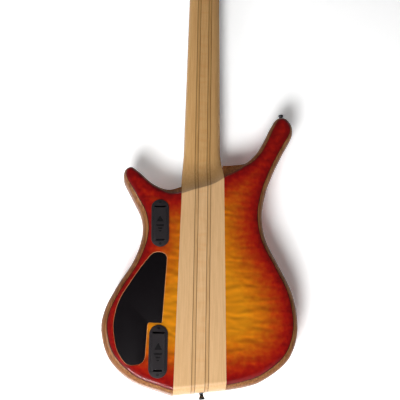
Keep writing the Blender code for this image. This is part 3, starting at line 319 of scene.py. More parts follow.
def maple_finish(name, tones, coarseness, veneers=()):
    """Maple, clear on the body; past the slanted edge of the heel its colour is darker and browner."""
    material, tree, shader, place = new_material(
        name, coat_weight=0.35, coat_roughness=0.16, specular_ior_level=0.25)
    grain = use_group(tree, GRAIN, {"Vector": place, "Coarseness": coarseness})
    tone = ramp(tree, grain["Bands"], [(0.34, tones[0]), (0.5, tones[1]), (0.66, tones[2])])
    lines = ramp(tree, grain["Streaks"], [(0.35, 0.94), (0.6, 1.0)])
    colour = mix_colours(tree, 0.7, tone, lines, "MULTIPLY")
    colour = mix_colours(tree, maths(tree, "MULTIPLY", grain["Pores"], 0.14), colour, rgba(120, 82, 45))
    flame = use_group(tree, QUILT, {"Vector": place})["Figure"]
    in_centre = maths(tree, "LESS_THAN", from_middle(tree, place), 7.2 * MM)
    bars = ramp(tree, flame, [(0.2, (1.0, 0.92, 0.84)), (0.5, 1.0), (0.8, (1.03, 1.04, 1.05))])
    colour = mix_colours(tree, maths(tree, "MULTIPLY", in_centre, 0.8), colour, bars, "MULTIPLY")
    x_and_z = add_node(tree, "SeparateXYZ", {0: place}).outputs
    slanted = maths(tree, "ADD", x_and_z["Z"], maths(tree, "MULTIPLY", x_and_z["X"], 0.43))
    # past the heel's slanted crease the neck is tinted darker and browner
    past_heel_crease = add_node(tree, "MapRange", {"Value": slanted, "From Min": -0.621, "From Max": -0.603}).outputs[0]
    colour = mix_colours(tree, past_heel_crease, colour, (0.95, 0.88, 0.70, 1.0), "MULTIPLY")
    # painted shade on maple faces that point up the neck, such as the heel's cove
    colour = painted_shade_facing_up(tree, colour, (0.78, 0.76, 0.74))
    for centre in veneers:
        line = maths(tree, "MULTIPLY", near(tree, from_middle(tree, place), centre, 0.9 * MM), 1.8, clamp=True)
        colour = mix_colours(tree, maths(tree, "MULTIPLY", line, 0.8), colour, rgba(104, 72, 40))
    scuffs = use_group(tree, SCUFFS, {"Vector": place})
    drive(tree, shader, colour, spread(tree, scuffs["Smudges"], 0.34, 0.5), grain["Pores"], 0.12)
    return material


maple = maple_finish("maple_clear", (srgb(211, 168, 119), srgb(217, 175, 126), srgb(222, 181, 132)), 1.0)
stringer = maple_finish("stringer_clear", (srgb(192, 149, 99), srgb(203, 161, 111), srgb(212, 171, 121)), 1.3,
                        veneers=(7.4 * MM, 12.7 * MM))

# %% [markdown]
# ### Walnut
# The wings are walnut, seen only as the brown band round the body. Its bands are stronger and
# its pores longer than those of maple, and the gloss coat makes the rounded edge shine. Right
# under the figured skins lies a black veneer, which parts the brown from the red.

# %% Make the walnut finish


def walnut_finish():
    material, tree, shader, place = new_material(
        "walnut_gloss", coat_weight=0.15, coat_roughness=0.1, specular_ior_level=0.1)
    grain = use_group(tree, GRAIN, {"Vector": place, "Coarseness": 0.8})
    tone = ramp(tree, grain["Bands"], [(0.3, srgb(112, 66, 34)), (0.5, srgb(144, 92, 50)), (0.7, srgb(170, 116, 68))])
    lines = ramp(tree, grain["Streaks"], [(0.3, 0.78), (0.62, 1.0)])
    colour = mix_colours(tree, 0.85, tone, lines, "MULTIPLY")
    colour = mix_colours(tree, maths(tree, "MULTIPLY", grain["Pores"], 0.5), colour, rgba(52, 30, 18))
    # painted shade on walnut faces that point up the neck, such as the heel's cove
    colour = painted_shade_facing_up(tree, colour, (0.62, 0.48, 0.42))
    depth = add_node(tree, "SeparateXYZ", {0: place}).outputs["Y"]
    veneer = maths(tree, "MAXIMUM", maths(tree, "GREATER_THAN", depth, 37.15 * MM),
                   maths(tree, "LESS_THAN", depth, 3.5 * MM))
    colour = mix_colours(tree, veneer, colour, rgba(26, 14, 12))
    drive(tree, shader, colour, spread(tree, grain["Streaks"], 0.3, 0.45), grain["Pores"], 0.2)
    return material


walnut = walnut_finish()

# %% [markdown]
# ### The burst
# The skins are quilted maple, dyed amber in the middle and sprayed through orange and red to dark
# cherry at the rim. How far a point lies from the rim is stored on the mesh as an attribute, in
# metres, and a colour ramp turns that distance into dye. The quilt lightens and darkens the dye.

# %% Make the burst finish
BURST_REACH = 0.09  # distance from the rim at which the dye is pure amber


def burst_finish():
    material, tree, shader, place = new_material(
        "burst_gloss", coat_weight=0.7, coat_roughness=0.05, specular_ior_level=0.1)
    rim = add_node(tree, "Attribute", attribute_name="from_rim").outputs["Fac"]
    cloud = add_node(tree, "TexNoise", {"Vector": stretched(tree, place, (26, 26, 26)), "Detail": 2.0}).outputs[0]
    drift = spread(tree, cloud, -0.014, 0.014)
    share = maths(tree, "DIVIDE", maths(tree, "ADD", rim, drift), BURST_REACH)
    dye = ramp(tree, share, [(0.0, srgb(98, 2, 4)), (0.13, srgb(128, 6, 6)), (0.22, srgb(150, 18, 6)),
                             (0.33, srgb(164, 42, 5)), (0.45, srgb(174, 66, 6)), (0.56, srgb(182, 87, 7)),
                             (0.70, srgb(193, 106, 8)), (0.92, srgb(206, 128, 14))])
    quilt = use_group(tree, QUILT, {"Vector": place})
    shade = ramp(tree, quilt["Figure"], [(0.2, 0.66), (0.5, 0.97), (0.8, 1.28)])
    strength = add_node(tree, "MapRange", {"Value": share, "From Max": 0.6, "To Min": 0.25, "To Max": 0.95}).outputs[0]
    colour = mix_colours(tree, strength, dye, shade, "MULTIPLY")
    grain = use_group(tree, GRAIN, {"Vector": place, "Coarseness": 1.2})
    colour = mix_colours(tree, maths(tree, "MULTIPLY", grain["Pores"], 0.12), colour, rgba(96, 24, 8))
    # painted highlight: a pale line along the edge of the cover's opening, where the eased edge catches the light
    cut = ramp(tree, add_node(tree, "Attribute", attribute_name="cut_edge").outputs["Fac"], [(0.33, 0.0), (0.4, 0.5)])
    colour = mix_colours(tree, cut, colour, rgba(226, 170, 116))
    drive(tree, shader, colour, spread(tree, grain["Streaks"], 0.3, 0.42), cloud, 0.05, 0.0004)
    return material


burst = burst_finish()

# %% [markdown]
# ### Ebony, plastic and metal
# The dark pieces differ by how they scatter light. Ebony is a nearly black wood with faint brown
# streaks. Moulded plastic is satin with a fine texture and handling marks. Plated metal is smooth
# and mirrors the room, with smudges in its gloss.

# %% Make the dark finishes and the metals


def ebony_finish():
    material, tree, shader, place = new_material("ebony_oiled", coat_weight=0.15, coat_roughness=0.3)
    grain = use_group(tree, GRAIN, {"Vector": place, "Coarseness": 1.4})
    colour = ramp(tree, grain["Streaks"], [(0.35, srgb(16, 12, 11)), (0.7, srgb(42, 31, 25))])
    drive(tree, shader, colour, spread(tree, grain["Bands"], 0.38, 0.55), grain["Pores"], 0.25)
    return material


def plastic_finish(name, tone, low, high):
    material, tree, shader, place = new_material(name, specular_ior_level=0.3)
    scuffs = use_group(tree, SCUFFS, {"Vector": place})
    speckle = add_node(tree, "TexNoise", {"Vector": stretched(tree, place, (2600, 2600, 2600)), "Detail": 1.0})
    colour = mix_colours(tree, maths(tree, "MULTIPLY", scuffs["Scratches"], 0.25), (*tone, 1.0), rgba(92, 92, 94))
    drive(tree, shader, colour, spread(tree, scuffs["Smudges"], low, high), speckle.outputs[0], 0.15, 0.00006)
    return material


def metal_finish(name, tone, bright, low, high):
    material, tree, shader, place = new_material(name, metallic=1.0)
    scuffs = use_group(tree, SCUFFS, {"Vector": place, "Size": 1.6})
    colour = mix_colours(tree, maths(tree, "MULTIPLY", scuffs["Scratches"], 0.3), (*tone, 1.0), (*bright, 1.0))
    drive(tree, shader, colour, spread(tree, scuffs["Smudges"], low, high), scuffs["Scratches"], 0.1, 0.00002)
    return material


def pearl_finish():
    """Shell: pale, with cloudy bands of faint pink and green."""
    material, tree, shader, place = new_material("pearl_inlay", coat_weight=0.4, coat_roughness=0.1)
    cloud = add_node(tree, "TexNoise", {"Vector": stretched(tree, place, (700, 260, 420)), "Detail": 3.0,
                                        "Distortion": 1.6})
    colour = ramp(tree, cloud.outputs[0], [(0.3, srgb(196, 202, 196)), (0.5, srgb(232, 230, 222)),
                                           (0.7, srgb(222, 206, 204))])
    drive(tree, shader, colour, spread(tree, cloud.outputs[0], 0.15, 0.35))
    return material


def wound_finish():
    """Steel whose normal waves along the string with the winding's pitch of 0.5 mm; its colour is painted darker in the
    grooves and lighter on the crests, as shade and highlight.
    """
    material, tree, shader, place = new_material("wound_steel", metallic=1.0)
    length = add_node(tree, "Attribute", attribute_name="along").outputs["Fac"]
    wave = maths(tree, "SINE", maths(tree, "MULTIPLY", length, 2 * math.pi / (0.5 * MM)))
    scuffs = use_group(tree, SCUFFS, {"Vector": place, "Size": 2.0})
    # painted shade in the grooves between turns and painted highlight on their crests
    groove_shade = maths(tree, "MULTIPLY_ADD", wave, 0.3)
    groove_shade.node.inputs[2].default_value = 0.5
    colour = mix_colours(tree, groove_shade, rgba(120, 118, 114), rgba(206, 204, 198))
    drive(tree, shader, colour, spread(tree, scuffs["Smudges"], 0.24, 0.42), wave, 0.5, 0.0001)
    return material


ebony = ebony_finish()
pearl = pearl_finish()
wound_steel = wound_finish()
satin_plastic = plastic_finish("satin_black_plastic", srgb(9, 5, 8), 0.3, 0.48)
box_plastic = plastic_finish("moulded_box_plastic", srgb(39, 35, 37), 0.45, 0.62)
mark_black = plastic_finish("door_mark_black", srgb(6, 4, 6), 0.6, 0.75)
board_green = plastic_finish("board_lacquer", srgb(28, 84, 52), 0.25, 0.4)
cell_case = plastic_finish("cell_sleeve", srgb(66, 70, 78), 0.3, 0.45)
black_metal = metal_finish("black_chrome", srgb(74, 74, 78), srgb(120, 120, 122), 0.16, 0.34)
screw_black = metal_finish("blackened_screw", srgb(34, 33, 34), srgb(70, 70, 72), 0.34, 0.5)
steel = metal_finish("string_steel", srgb(196, 194, 190), srgb(228, 226, 222), 0.22, 0.4)
ball_brass = metal_finish("ball_brass", srgb(176, 140, 78), srgb(214, 186, 130), 0.24, 0.42)
print("finishes:", len(bpy.data.materials))

# %% [markdown]
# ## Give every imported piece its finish
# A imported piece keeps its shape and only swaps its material. Each finish is listed with the first
# words of the names of the pieces that wear it.

# %% Assign the finishes
WEARS = (
    (maple, ("neck_center", "neck_outer")), (stringer, ("neck_stringer",)), (walnut, ("body_wing",)),
    (burst, ("back_cap", "top_cap")), (ebony, ("fretboard", "headstock_veneer")),
    (satin_plastic, ("control_cover", "nut", "truss_rod_cover", "pickup")),
    (box_plastic, ("battery_housing", "battery_door")), (board_green, ("control_board",)),
    (cell_case, ("battery_upper", "battery_lower")), (steel, ("string", "truss_rod")),
    (black_metal, ("bridge", "saddle", "tuner", "knob", "strap_button", "output_jack")),
)


def finish_of(name):
    """The longest listed start of the name decides, so truss_rod_cover isn't taken for truss_rod."""
    fits = [(len(start), index) for index, (_, starts) in enumerate(WEARS) for start in starts
            if name.startswith(start)]
    return WEARS[max(fits)[1]][0]


for name, node in frame["nodes"].items():
    node.data.materials.clear()
    node.data.materials.append(finish_of(name))
print("pieces dressed:", len(frame["nodes"]))

# %% [markdown]
# ## From arrays of points to meshes
# Every new piece is a surface worked out with numpy. A grid of points has rows and columns, and
# one helper joins neighbours into quads. A shape that a knife would cut, such as a pocket or a
# slice, is cut with exact Booleans, applied at once so that only plain mesh is left.

# %% Helpers for meshes


def outward(mesh):
    """Merge doubled points, drop collapsed faces and turn all normals out."""
    shell = bmesh.new()
    shell.from_mesh(mesh)
    bmesh.ops.remove_doubles(shell, verts=shell.verts, dist=1e-7)
    bmesh.ops.dissolve_degenerate(shell, edges=shell.edges, dist=1e-7)
    bmesh.ops.recalc_face_normals(shell, faces=shell.faces)
    shell.to_mesh(mesh)
    shell.free()
    return mesh


def skin(grid, name="skin"):
    """Quads over a (rows, columns, 3) grid whose columns close into rings, with a face on each end."""
    rows, columns, _ = grid.shape
    index = np.arange(rows * columns).reshape(rows, columns)
    following = np.roll(index, -1, axis=1)
    quads = np.stack([index[:-1], following[:-1], following[1:], index[1:]], axis=-1).reshape(-1, 4)
    mesh = bpy.data.meshes.new(name)
    mesh.from_pydata(grid.reshape(-1, 3).tolist(), [],
                     quads.tolist() + [index[0][::-1].tolist(), index[-1].tolist()])
    return outward(mesh)


def prism(outline, low, high):
    """A flat outline of (x, z) points, carried along Y from low to high."""
    rings = [np.column_stack([outline[:, 0], np.full(len(outline), y), outline[:, 1]]) for y in (low, high)]
    return skin(np.array(rings))


def joined(*meshes):
    """Several closed meshes as one mesh, without a cut between them."""
    shell = bmesh.new()
    for mesh in meshes:
        shell.from_mesh(mesh)
        bpy.data.meshes.remove(mesh)
    whole = bpy.data.meshes.new("joined")
    shell.to_mesh(whole)
    shell.free()
    return whole


def carved(mesh, tools, operation="DIFFERENCE"):
    """The mesh after one exact Boolean for each tool mesh; the tools are used up."""
    objects = [bpy.data.objects.new("carving", each) for each in (mesh, *tools)]
    for obj in objects:
        bpy.context.scene.collection.objects.link(obj)
    for tool in objects[1:]:
        modifier = objects[0].modifiers.new("cut", "BOOLEAN")
        modifier.operation = operation
        modifier.solver = "EXACT"
        modifier.object = tool
    graph = bpy.context.evaluated_depsgraph_get()
    result = bpy.data.meshes.new_from_object(objects[0].evaluated_get(graph))
    for obj in objects:
        bpy.data.objects.remove(obj)
    return outward(result)


def placed(mesh, matrix):
    mesh.transform(matrix)
    return mesh


def add_piece(name, mesh, finish, body="instrument", stands_for=(), crease=30.0):
    """A finished piece: smooth except at edges sharper than the crease angle, riding on its body."""
    mesh.name = name
    mesh.shade_smooth()
    mesh.set_sharp_from_angle(angle=math.radians(crease))
    mesh.materials.clear()
    mesh.materials.append(finish)
    obj = bpy.data.objects.new(name, mesh)
    bpy.context.scene.collection.objects.link(obj)
    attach(obj, body)
    if stands_for:
        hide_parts(*stands_for)
    print(f"{name}: {len(mesh.polygons)} faces")
    return obj


# %% [markdown]
# ## Curves for the outlines
# The rim of the body is a smooth curve through a few points picked on the instrument. A
# centripetal Catmull-Rom spline passes through each of them without loops. Plates such as the
# control cover are polygons whose corners are rounded by arcs.

# %% Helpers for curves and outlines


def unit(vectors):
    return vectors / np.maximum(np.linalg.norm(vectors, axis=-1, keepdims=True), 1e-12)


def spline_through(anchors, steps):
    """Points of a centripetal Catmull-Rom curve: three rounds of blending between neighbours.

    Each round weighs two points by where t lies between their knots; knots grow by the root of
    the distance between anchors."""
    rows = np.array(anchors, float)
    rows = np.vstack([2 * rows[0] - rows[1], rows, 2 * rows[-1] - rows[-2]])
    chords = np.linalg.norm(np.diff(rows[:, :2], axis=0), axis=1)
    knots = np.concatenate([[0], np.cumsum(chords ** 0.5)])[:, None, None]
    k0, k1, k2, k3 = knots[:-3], knots[1:-2], knots[2:-1], knots[3:]
    p0, p1, p2, p3 = (rows[i:len(rows) - 3 + i, None, :] for i in range(4))
    t = k1 + (k2 - k1) * np.arange(steps)[None, :, None] / steps
    a1 = ((k1 - t) * p0 + (t - k0) * p1) / (k1 - k0)
    a2 = ((k2 - t) * p1 + (t - k1) * p2) / (k2 - k1)
    a3 = ((k3 - t) * p2 + (t - k2) * p3) / (k3 - k2)
    b1 = ((k2 - t) * a1 + (t - k0) * a2) / (k2 - k0)
    b2 = ((k3 - t) * a2 + (t - k1) * a3) / (k3 - k1)
    curve = ((k2 - t) * b1 + (t - k1) * b2) / (k2 - k1)
    return np.vstack([curve.reshape(-1, rows.shape[1]), rows[-2]])


def rounded_outline(corners, steps=8):
    """Corners (across, height, radius) in mm, each replaced by an arc that touches both its sides.

    The arc's centre lies on the corner's bisector at radius / sin(half angle), and its points are
    the first one turned by equal shares of the sweep."""
    corners = np.array(corners, float) * MM
    points, radius = corners[:, :2], corners[:, 2:]
    before = unit(np.roll(points, 1, axis=0) - points)
    after = unit(np.roll(points, -1, axis=0) - points)
    half = np.arccos((before * after).sum(axis=1, keepdims=True)) / 2
    centre = points + unit(before + after) * radius / np.sin(half)
    start = points + before * radius / np.tan(half) - centre
    turning = -np.sign(before[:, :1] * after[:, 1:] - before[:, 1:] * after[:, :1])
    angle = turning * (math.pi - 2 * half) * np.linspace(0, 1, steps + 1)
    cosine, sine = np.cos(angle), np.sin(angle)
    arcs = np.stack([centre[:, :1] + start[:, :1] * cosine - start[:, 1:] * sine,
                     centre[:, 1:] + start[:, :1] * sine + start[:, 1:] * cosine], axis=-1).reshape(-1, 2)
    return arcs[np.linalg.norm(arcs - np.roll(arcs, 1, axis=0), axis=1) > 1e-6]


def inset_outline(outline, distance):
    """The outline moved inwards: each point goes along the mean normal of its two sides."""
    after = unit(np.roll(outline, -1, axis=0) - outline)
    before = np.roll(after, 1, axis=0)
    winding = np.sign((outline[:, 0] * np.roll(outline[:, 1], -1)
                       - np.roll(outline[:, 0], -1) * outline[:, 1]).sum())
    normal = winding * np.stack([-(after + before)[:, 1], (after + before)[:, 0]], axis=1)
    stretch = 2 / np.maximum((normal ** 2).sum(axis=1, keepdims=True), 1.0)
    return outline + normal * stretch * distance


def grown(corners, distance):
    """The polygon of (across, height, radius) corners with each side moved outwards, in mm."""
    points = np.array([corner[:2] for corner in corners], float)
    after = np.roll(points, -1, axis=0) - points
    before = np.roll(after, 1, axis=0)
    turning = np.sign(before[:, 0] * after[:, 1] - before[:, 1] * after[:, 0])
    winding = np.sign(turning.sum())
    after = unit(after)
    normals = winding * np.stack([after[:, 1], -after[:, 0]], axis=1)
    previous = np.roll(normals, 1, axis=0)
    mitre = (normals + previous) / (1 + (normals * previous).sum(axis=1))[:, None]
    radii = np.maximum(0.8, np.array([corner[2] for corner in corners]) + turning * winding * distance)
    return np.column_stack([points + mitre * distance, radii])


def layers(outline, profile):
    """A plate with a shaped edge: one ring of the outline for each (depth y, inset) of the profile."""
    rings = [np.insert(inset_outline(outline, inset) if inset else outline, 1, y, axis=1) for y, inset in profile]
    return skin(np.array(rings))


# %% [markdown]
# ## The body's shape in formulas
# The flat back turns into the edge along a quarter of an ellipse, 15 mm deep and up to 21 mm wide.
# The heel is a parabola: from a slanted crease across the back it sweeps 60 mm upwards and down
# to the neck, first steep, then level. All pieces that the carving crosses share these formulas.

# %% State the body's sizes and formulas
BODY_THICKNESS = 40 * MM
TAIL_FROM_NUT = 943.3 * MM
TAIL_SLANT = -0.1236
TAIL_ROUND = 13 * MM
BLOCK_TOP_Z = -620 * MM
BLOCK_HALF_TOP = 34.6 * MM
BLOCK_HALF_TAIL = 39.3 * MM
BACK_ROUND = 15 * MM
FRONT_ROUND = 12 * MM
FRONT_SHARE = 0.7
NECK_BACK = 17.5 * MM
COVE_LENGTH = 60 * MM
GLUE_BACK = BODY_THICKNESS - 2.35 * MM  # glue line between the walnut and the back skin
GLUE_FRONT = 2.85 * MM

# Rim from the neck round the horn to the tail, then from the tail round the bass side to the neck
TREBLE_RIM = (
    (33.0, -614.5, 18), (56.0, -621.5, 17), (80.0, -614.0, 13), (105.0, -593.5, 10.5),
    (118.5, -585.2, 9), (128.3, -590.5, 9), (130.3, -604.5, 10), (115.0, -635.5, 14),
    (98.0, -671.0, 19), (95.2, -701.0, 21), (106.9, -743.7, 21), (130.0, -785.0, 21),
    (147.5, -824.5, 21), (150.8, -854.0, 21), (137.0, -896.0, 20), (101.0, -928.5, 17),
    (62.0, -942.0, 14), (39.7, -948.3, 13),
)
BASS_RIM = (
    (-40.0, -938.4, 13), (-70.0, -932.6, 16), (-94.4, -924.2, 18), (-134.3, -893.5, 21),
    (-149.5, -860.0, 21), (-152.0, -828.0, 21), (-144.5, -787.0, 21), (-124.5, -744.0, 21),
    (-104.5, -702.4, 21), (-98.7, -663.0, 21), (-105.5, -620.0, 19), (-121.0, -578.0, 17),
    (-139.0, -540.0, 15), (-152.5, -512.5, 13.5), (-153.0, -496.0, 12.5), (-145.0, -483.0, 12),
    (-136.0, -479.0, 11.5), (-126.0, -482.5, 12), (-115.0, -500.0, 13), (-102.6, -526.8, 15),
    (-89.0, -550.0, 17), (-70.0, -568.0, 18), (-50.0, -572.3, 18), (-34.0, -572.5, 18),
)
HEEL_CREASE = (
    (95.0, -596.0), (75.0, -624.0), (56.0, -634.5), (33.5, -631.0), (14.0, -624.0),
    (-8.0, -616.5), (-21.0, -610.5), (-35.0, -601.0), (-54.0, -590.8), (-71.0, -579.0),
    (-89.5, -560.0), (-101.0, -532.0), (-112.0, -490.0),
)


def ease(share):
    """A smooth step: 3 s^2 - 2 s^3 between 0 and 1."""
    share = np.clip(share, 0, 1)
    return share * share * (3 - 2 * share)


def block_half_width(z):
    """Half the width of the neck-through block: straight edges that spread towards the tail."""
    share = (z - BLOCK_TOP_Z) / (-TAIL_FROM_NUT - BLOCK_TOP_Z)
    return BLOCK_HALF_TOP + (BLOCK_HALF_TAIL - BLOCK_HALF_TOP) * share


def rounding(depth, radius):
    """How far an elliptical edge has drawn in, as a share of its width: 1 - sqrt(1 - s^2)."""
    share = np.clip(depth / radius, 0, 1)
    return 1 - np.sqrt(1 - share ** 2)


def edge_share(y):
    """The rounding of the back edge or the front edge, whichever reaches the depth y."""
    back = rounding(y - (BODY_THICKNESS - BACK_ROUND), BACK_ROUND)
    return back + FRONT_SHARE * rounding(FRONT_ROUND - y, FRONT_ROUND)


def rim_line(rim, steps=8):
    """Places along the rim in metres, their inward normals and edge widths, run on into the block."""
    rows = spline_through(rim, steps)
    ends = rows[[0, -1]]
    ends[:, :2] += 22.0 * unit((ends - rows[[1, -2]])[:, :2])
    rows = np.vstack([ends[0], rows, ends[1]])
    tangent = unit(np.gradient(rows[:, :2], axis=0))
    inward = np.stack([tangent[:, 1], -tangent[:, 0]], axis=1)
    return rows[:, :2] * MM, inward, rows[:, 2] * MM


def half_body(rim, depths):
    """Half of the body between depths: at each depth the rim drawn in by edge_share times its width."""
    places, inward, widths = rim_line(rim)
    inset = edge_share(np.array(depths))[:, None] * widths
    rings = places + inward * inset[..., None]
    heights = np.broadcast_to(np.array(depths)[:, None, None], (*inset.shape, 1))
    return skin(np.concatenate([rings[..., :1], heights, rings[..., 1:]], axis=-1))


def block_room():
    """The room of the neck-through block between the wings."""
    z = np.array([-400, -1000, -1000, -400]) * MM
    side = np.array([1, 1, -1, -1])
    return prism(np.stack([side * block_half_width(z), z], axis=1), -30 * MM, 80 * MM)


def cove_height(travel, neck_back):
    """The heel's parabola: the neck's back plus (1 - travel / length)^2 of the step up to the body."""
    share = np.clip(1 - travel / COVE_LENGTH, 0, None)
    return neck_back + (BODY_THICKNESS - neck_back) * share ** 2


def heel_cove():
    """What the heel carving takes from wings and skins: the parabola carried along the crease."""
    crease = spline_through(HEEL_CREASE, 6) * MM
    travel = np.array([-1, 0, 2, 4, 7, 10, 14, 18, 23, 28, 34, 40, 47, 54, 60, 120, 120, -1]) * MM
    height = cove_height(travel, NECK_BACK)
    height[-2:] = BODY_THICKNESS + 20 * MM
    shape = (len(crease), len(travel))
    return skin(np.stack([np.broadcast_to(crease[:, :1], shape), np.broadcast_to(height, shape),
                          crease[:, 1:] + travel], axis=-1))


print("rim points:", len(rim_line(TREBLE_RIM)[0]), len(rim_line(BASS_RIM)[0]))

# %% [markdown]
# ## The tools that cut the body
# The wings are routed for the control cavity, the two battery boxes, the pickups, the four pots
# and the output socket. Each tool is a prism or a round bar, a little longer than the wood it
# passes through.

# %% Make the cutting tools
COVER_CORNERS = (
    (55.0, -735.0, 9.5), (59.7, -843.6, 2), (81.4, -843.2, 4), (83.5, -905.0, 13),
    (108.0, -908.5, 15), (124.2, -890.5, 55), (133.0, -850.0, 85), (127.2, -811.7, 95),
    (96.3, -760.0, 280), (75.5, -731.0, 16),
)
CAVITY_FLOOR_Y = 8.5 * MM
CAVITY_LEDGE = 6.0  # in mm, where the cover rests
BATTERY_BOXES = {"upper": (67.9, -684.4, 2.0), "lower": (63.6, -886.7, 0.6)}  # across, height, tilt
TUB_SIZE = (25.2, 30.5, 63.6)
PICKUPS = {"pickup_neck": -702 * MM, "pickup_bridge": -792 * MM}
KNOBS = {"knob_volume": (76, -768), "knob_blend": (92, -797), "knob_treble": (106, -829), "knob_bass": (106, -865)}
JACK_PLACE = Vector((0.15108, 0.0185, -0.850))


def block(low, high):
    """A plain block between two corners, used for cutting."""
    outline = np.array([[low[0], low[2]], [high[0], low[2]], [high[0], high[2]], [low[0], high[2]]])
    return prism(outline, low[1], high[1])


def circle(radius, sides, across=0.0, height=0.0):
    """Points of a circle: (across + r cos a, height + r sin a) for equal steps of a."""
    angle = np.linspace(0, 2 * math.pi, sides, endpoint=False)
    return np.column_stack([across + radius * np.cos(angle), height + radius * np.sin(angle)])


def box_seat(side):
    """Where a battery box sits: centred on the back skin and turned a little."""
    across, height, tilt = BATTERY_BOXES[side]
    return (Matrix.Translation((across * MM, BODY_THICKNESS, height * MM))
            @ Matrix.Rotation(math.radians(tilt), 4, "Y"))


def tub_pocket(side, depth=TUB_SIZE[1] + 0.5):
    """The routed pocket for a battery tub, its corners rounded by the router's bit."""
    half, reach = TUB_SIZE[0] / 2 + 0.5, TUB_SIZE[2] / 2 + 0.5
    corner = 1.0 if depth > 20 else 6.0
    outline = rounded_outline([(-half, -reach, corner), (half, -reach, corner), (half, reach, corner),
                               (-half, reach, corner)])
    return placed(prism(outline, -depth * MM, 20 * MM), box_seat(side))


PICKUP_CORNERS = ((-46, -15, 4), (46, -15, 4), (46, 15, 4), (-46, 15, 4))


def pickup_pocket(z):
    outline = rounded_outline(grown(PICKUP_CORNERS, 0.5))
    return placed(prism(outline, -10 * MM, 13.5 * MM), Matrix.Translation((0, 0, z)))


def cover_outline(distance=0.0):
    return rounded_outline(grown(COVER_CORNERS, distance))


def tools_for(*names):
    """Fresh copies of the named tools, because a cut uses its tools up."""
    makers = {
        "room": lambda: [block_room()], "cove": lambda: [heel_cove()],
        "pickups": lambda: [pickup_pocket(z) for z in PICKUPS.values()],
        "tubs": lambda: [tub_pocket(side) for side in BATTERY_BOXES],
        "tub mouths": lambda: [tub_pocket(side, 10.0) for side in BATTERY_BOXES],
        "pots": lambda: [prism(circle(4.1 * MM, 24, x * MM, z * MM), -10 * MM, CAVITY_FLOOR_Y + 5 * MM)
                         for x, z in KNOBS.values()],
        "cavity": lambda: [prism(cover_outline(-CAVITY_LEDGE), CAVITY_FLOOR_Y, 60 * MM)],
        "cover": lambda: [prism(cover_outline(0.25), 20 * MM, 60 * MM)],
        "cover flare": lambda: [layers(cover_outline(0.25), [(39.2 * MM, 0.0), (41.2 * MM, -2.0 * MM)])],
        "jack": lambda: [placed(prism(circle(6.2 * MM, 32), -40 * MM, 10 * MM),
                                Matrix.Translation(JACK_PLACE) @ Matrix.Rotation(-math.pi / 2, 4, "Z"))],
    }
    return [tool for name in names for tool in makers[name]()]


# %% [markdown]
# ## Walnut wings and figured skins
# A wing is the rim's outline drawn in along both rounded edges. A skin is the thin outer layer of
# the same form, so its edge continues the curve of the walnut. The skins are diced into squares of
# 6 mm, because the dye reads its distance from the rim at the mesh's points.

# %% Build wings and skins
BACK_TURN = math.asin((GLUE_BACK - BODY_THICKNESS + BACK_ROUND) / BACK_ROUND)
FRONT_TURN = math.asin((FRONT_ROUND - GLUE_FRONT) / FRONT_ROUND)


def back_depths(start, end, count):
    """Depths on the back edge at equal steps of the ellipse's angle: y = 25 + 15 sin(angle) mm."""
    return BODY_THICKNESS - BACK_ROUND + BACK_ROUND * np.sin(np.linspace(start, end, count))


def front_depths(start, end, count):
    return FRONT_ROUND - FRONT_ROUND * np.sin(np.linspace(start, end, count))


WING_DEPTHS = np.concatenate([front_depths(FRONT_TURN, 0, 7), [18.5 * MM], back_depths(0, BACK_TURN, 10)])
BACK_SKIN_DEPTHS = back_depths(BACK_TURN, math.pi / 2, 9)
FRONT_SKIN_DEPTHS = front_depths(math.pi / 2, FRONT_TURN, 7)


def diced(mesh, step):
    """The mesh cut by planes at equal steps across X and Z."""
    shell = bmesh.new()
    shell.from_mesh(mesh)
    corners = np.array([vert.co for vert in shell.verts])
    for axis in (0, 2):
        normal = (1, 0, 0) if axis == 0 else (0, 0, 1)
        for place in np.arange(corners[:, axis].min() + step, corners[:, axis].max(), step):
            everything = shell.verts[:] + shell.edges[:] + shell.faces[:]
            bmesh.ops.bisect_plane(shell, geom=everything, plane_co=np.array(normal) * place, plane_no=normal)
    shell.to_mesh(mesh)
    shell.free()
    return mesh


def flat_points(mesh):
    """The mesh's points in X and Z, seen from the back."""
    points = np.empty(len(mesh.vertices) * 3)
    mesh.vertices.foreach_get("co", points)
    return points.reshape(-1, 3)[:, ::2]


def distance_from(line, points):
    """How far points lie from a line: the least |p - a - t (b - a)| over its segments a b."""
    start, step = line[:-1], np.diff(line, axis=0)
    offset = points[:, None] - start
    share = np.clip((offset * step).sum(axis=-1) / (step ** 2).sum(axis=-1), 0, 1)
    return np.linalg.norm(offset - share[..., None] * step, axis=-1).min(axis=1)


def below_crease(points):
    """How far points lie below the heel's slanted crease, plus a start of 8 mm of red."""
    across, height = spline_through(HEEL_CREASE, 6)[::-1].T * MM
    return 0.92 * (np.interp(points[:, 0], across, height) - points[:, 1]) + 8 * MM


def store(mesh, name, values):
    mesh.attributes.new(name, "FLOAT", "POINT").data.foreach_set("value", values.astype(np.float32))


def figured_skin(name, rim, depths, tools):
    """A skin with its dye distance, the soft minimum -k log(exp(-a / k) + exp(-b / k)) of two."""
    mesh = diced(carved(half_body(rim, depths), tools_for(*tools)), 6 * MM)
    points = flat_points(mesh)
    from_rim = distance_from(rim_line(rim)[0][1:-1], points)
    if "cove" in tools:
        softness = 5 * MM
        from_rim = -softness * np.logaddexp(-from_rim / softness, -below_crease(points) / softness)
    store(mesh, "from_rim", from_rim)
    if "cover" in tools:
        # painted highlight: how near a point lies to the cover's opening, for the pale line drawn there
        mouth = cover_outline(0.25)
        store(mesh, "cut_edge", 1 - distance_from(np.vstack([mouth, mouth[:1]]), points) / (1.2 * MM))
    return add_piece(name, mesh, burst, stands_for=(name.removesuffix("_skin"),), crease=25)


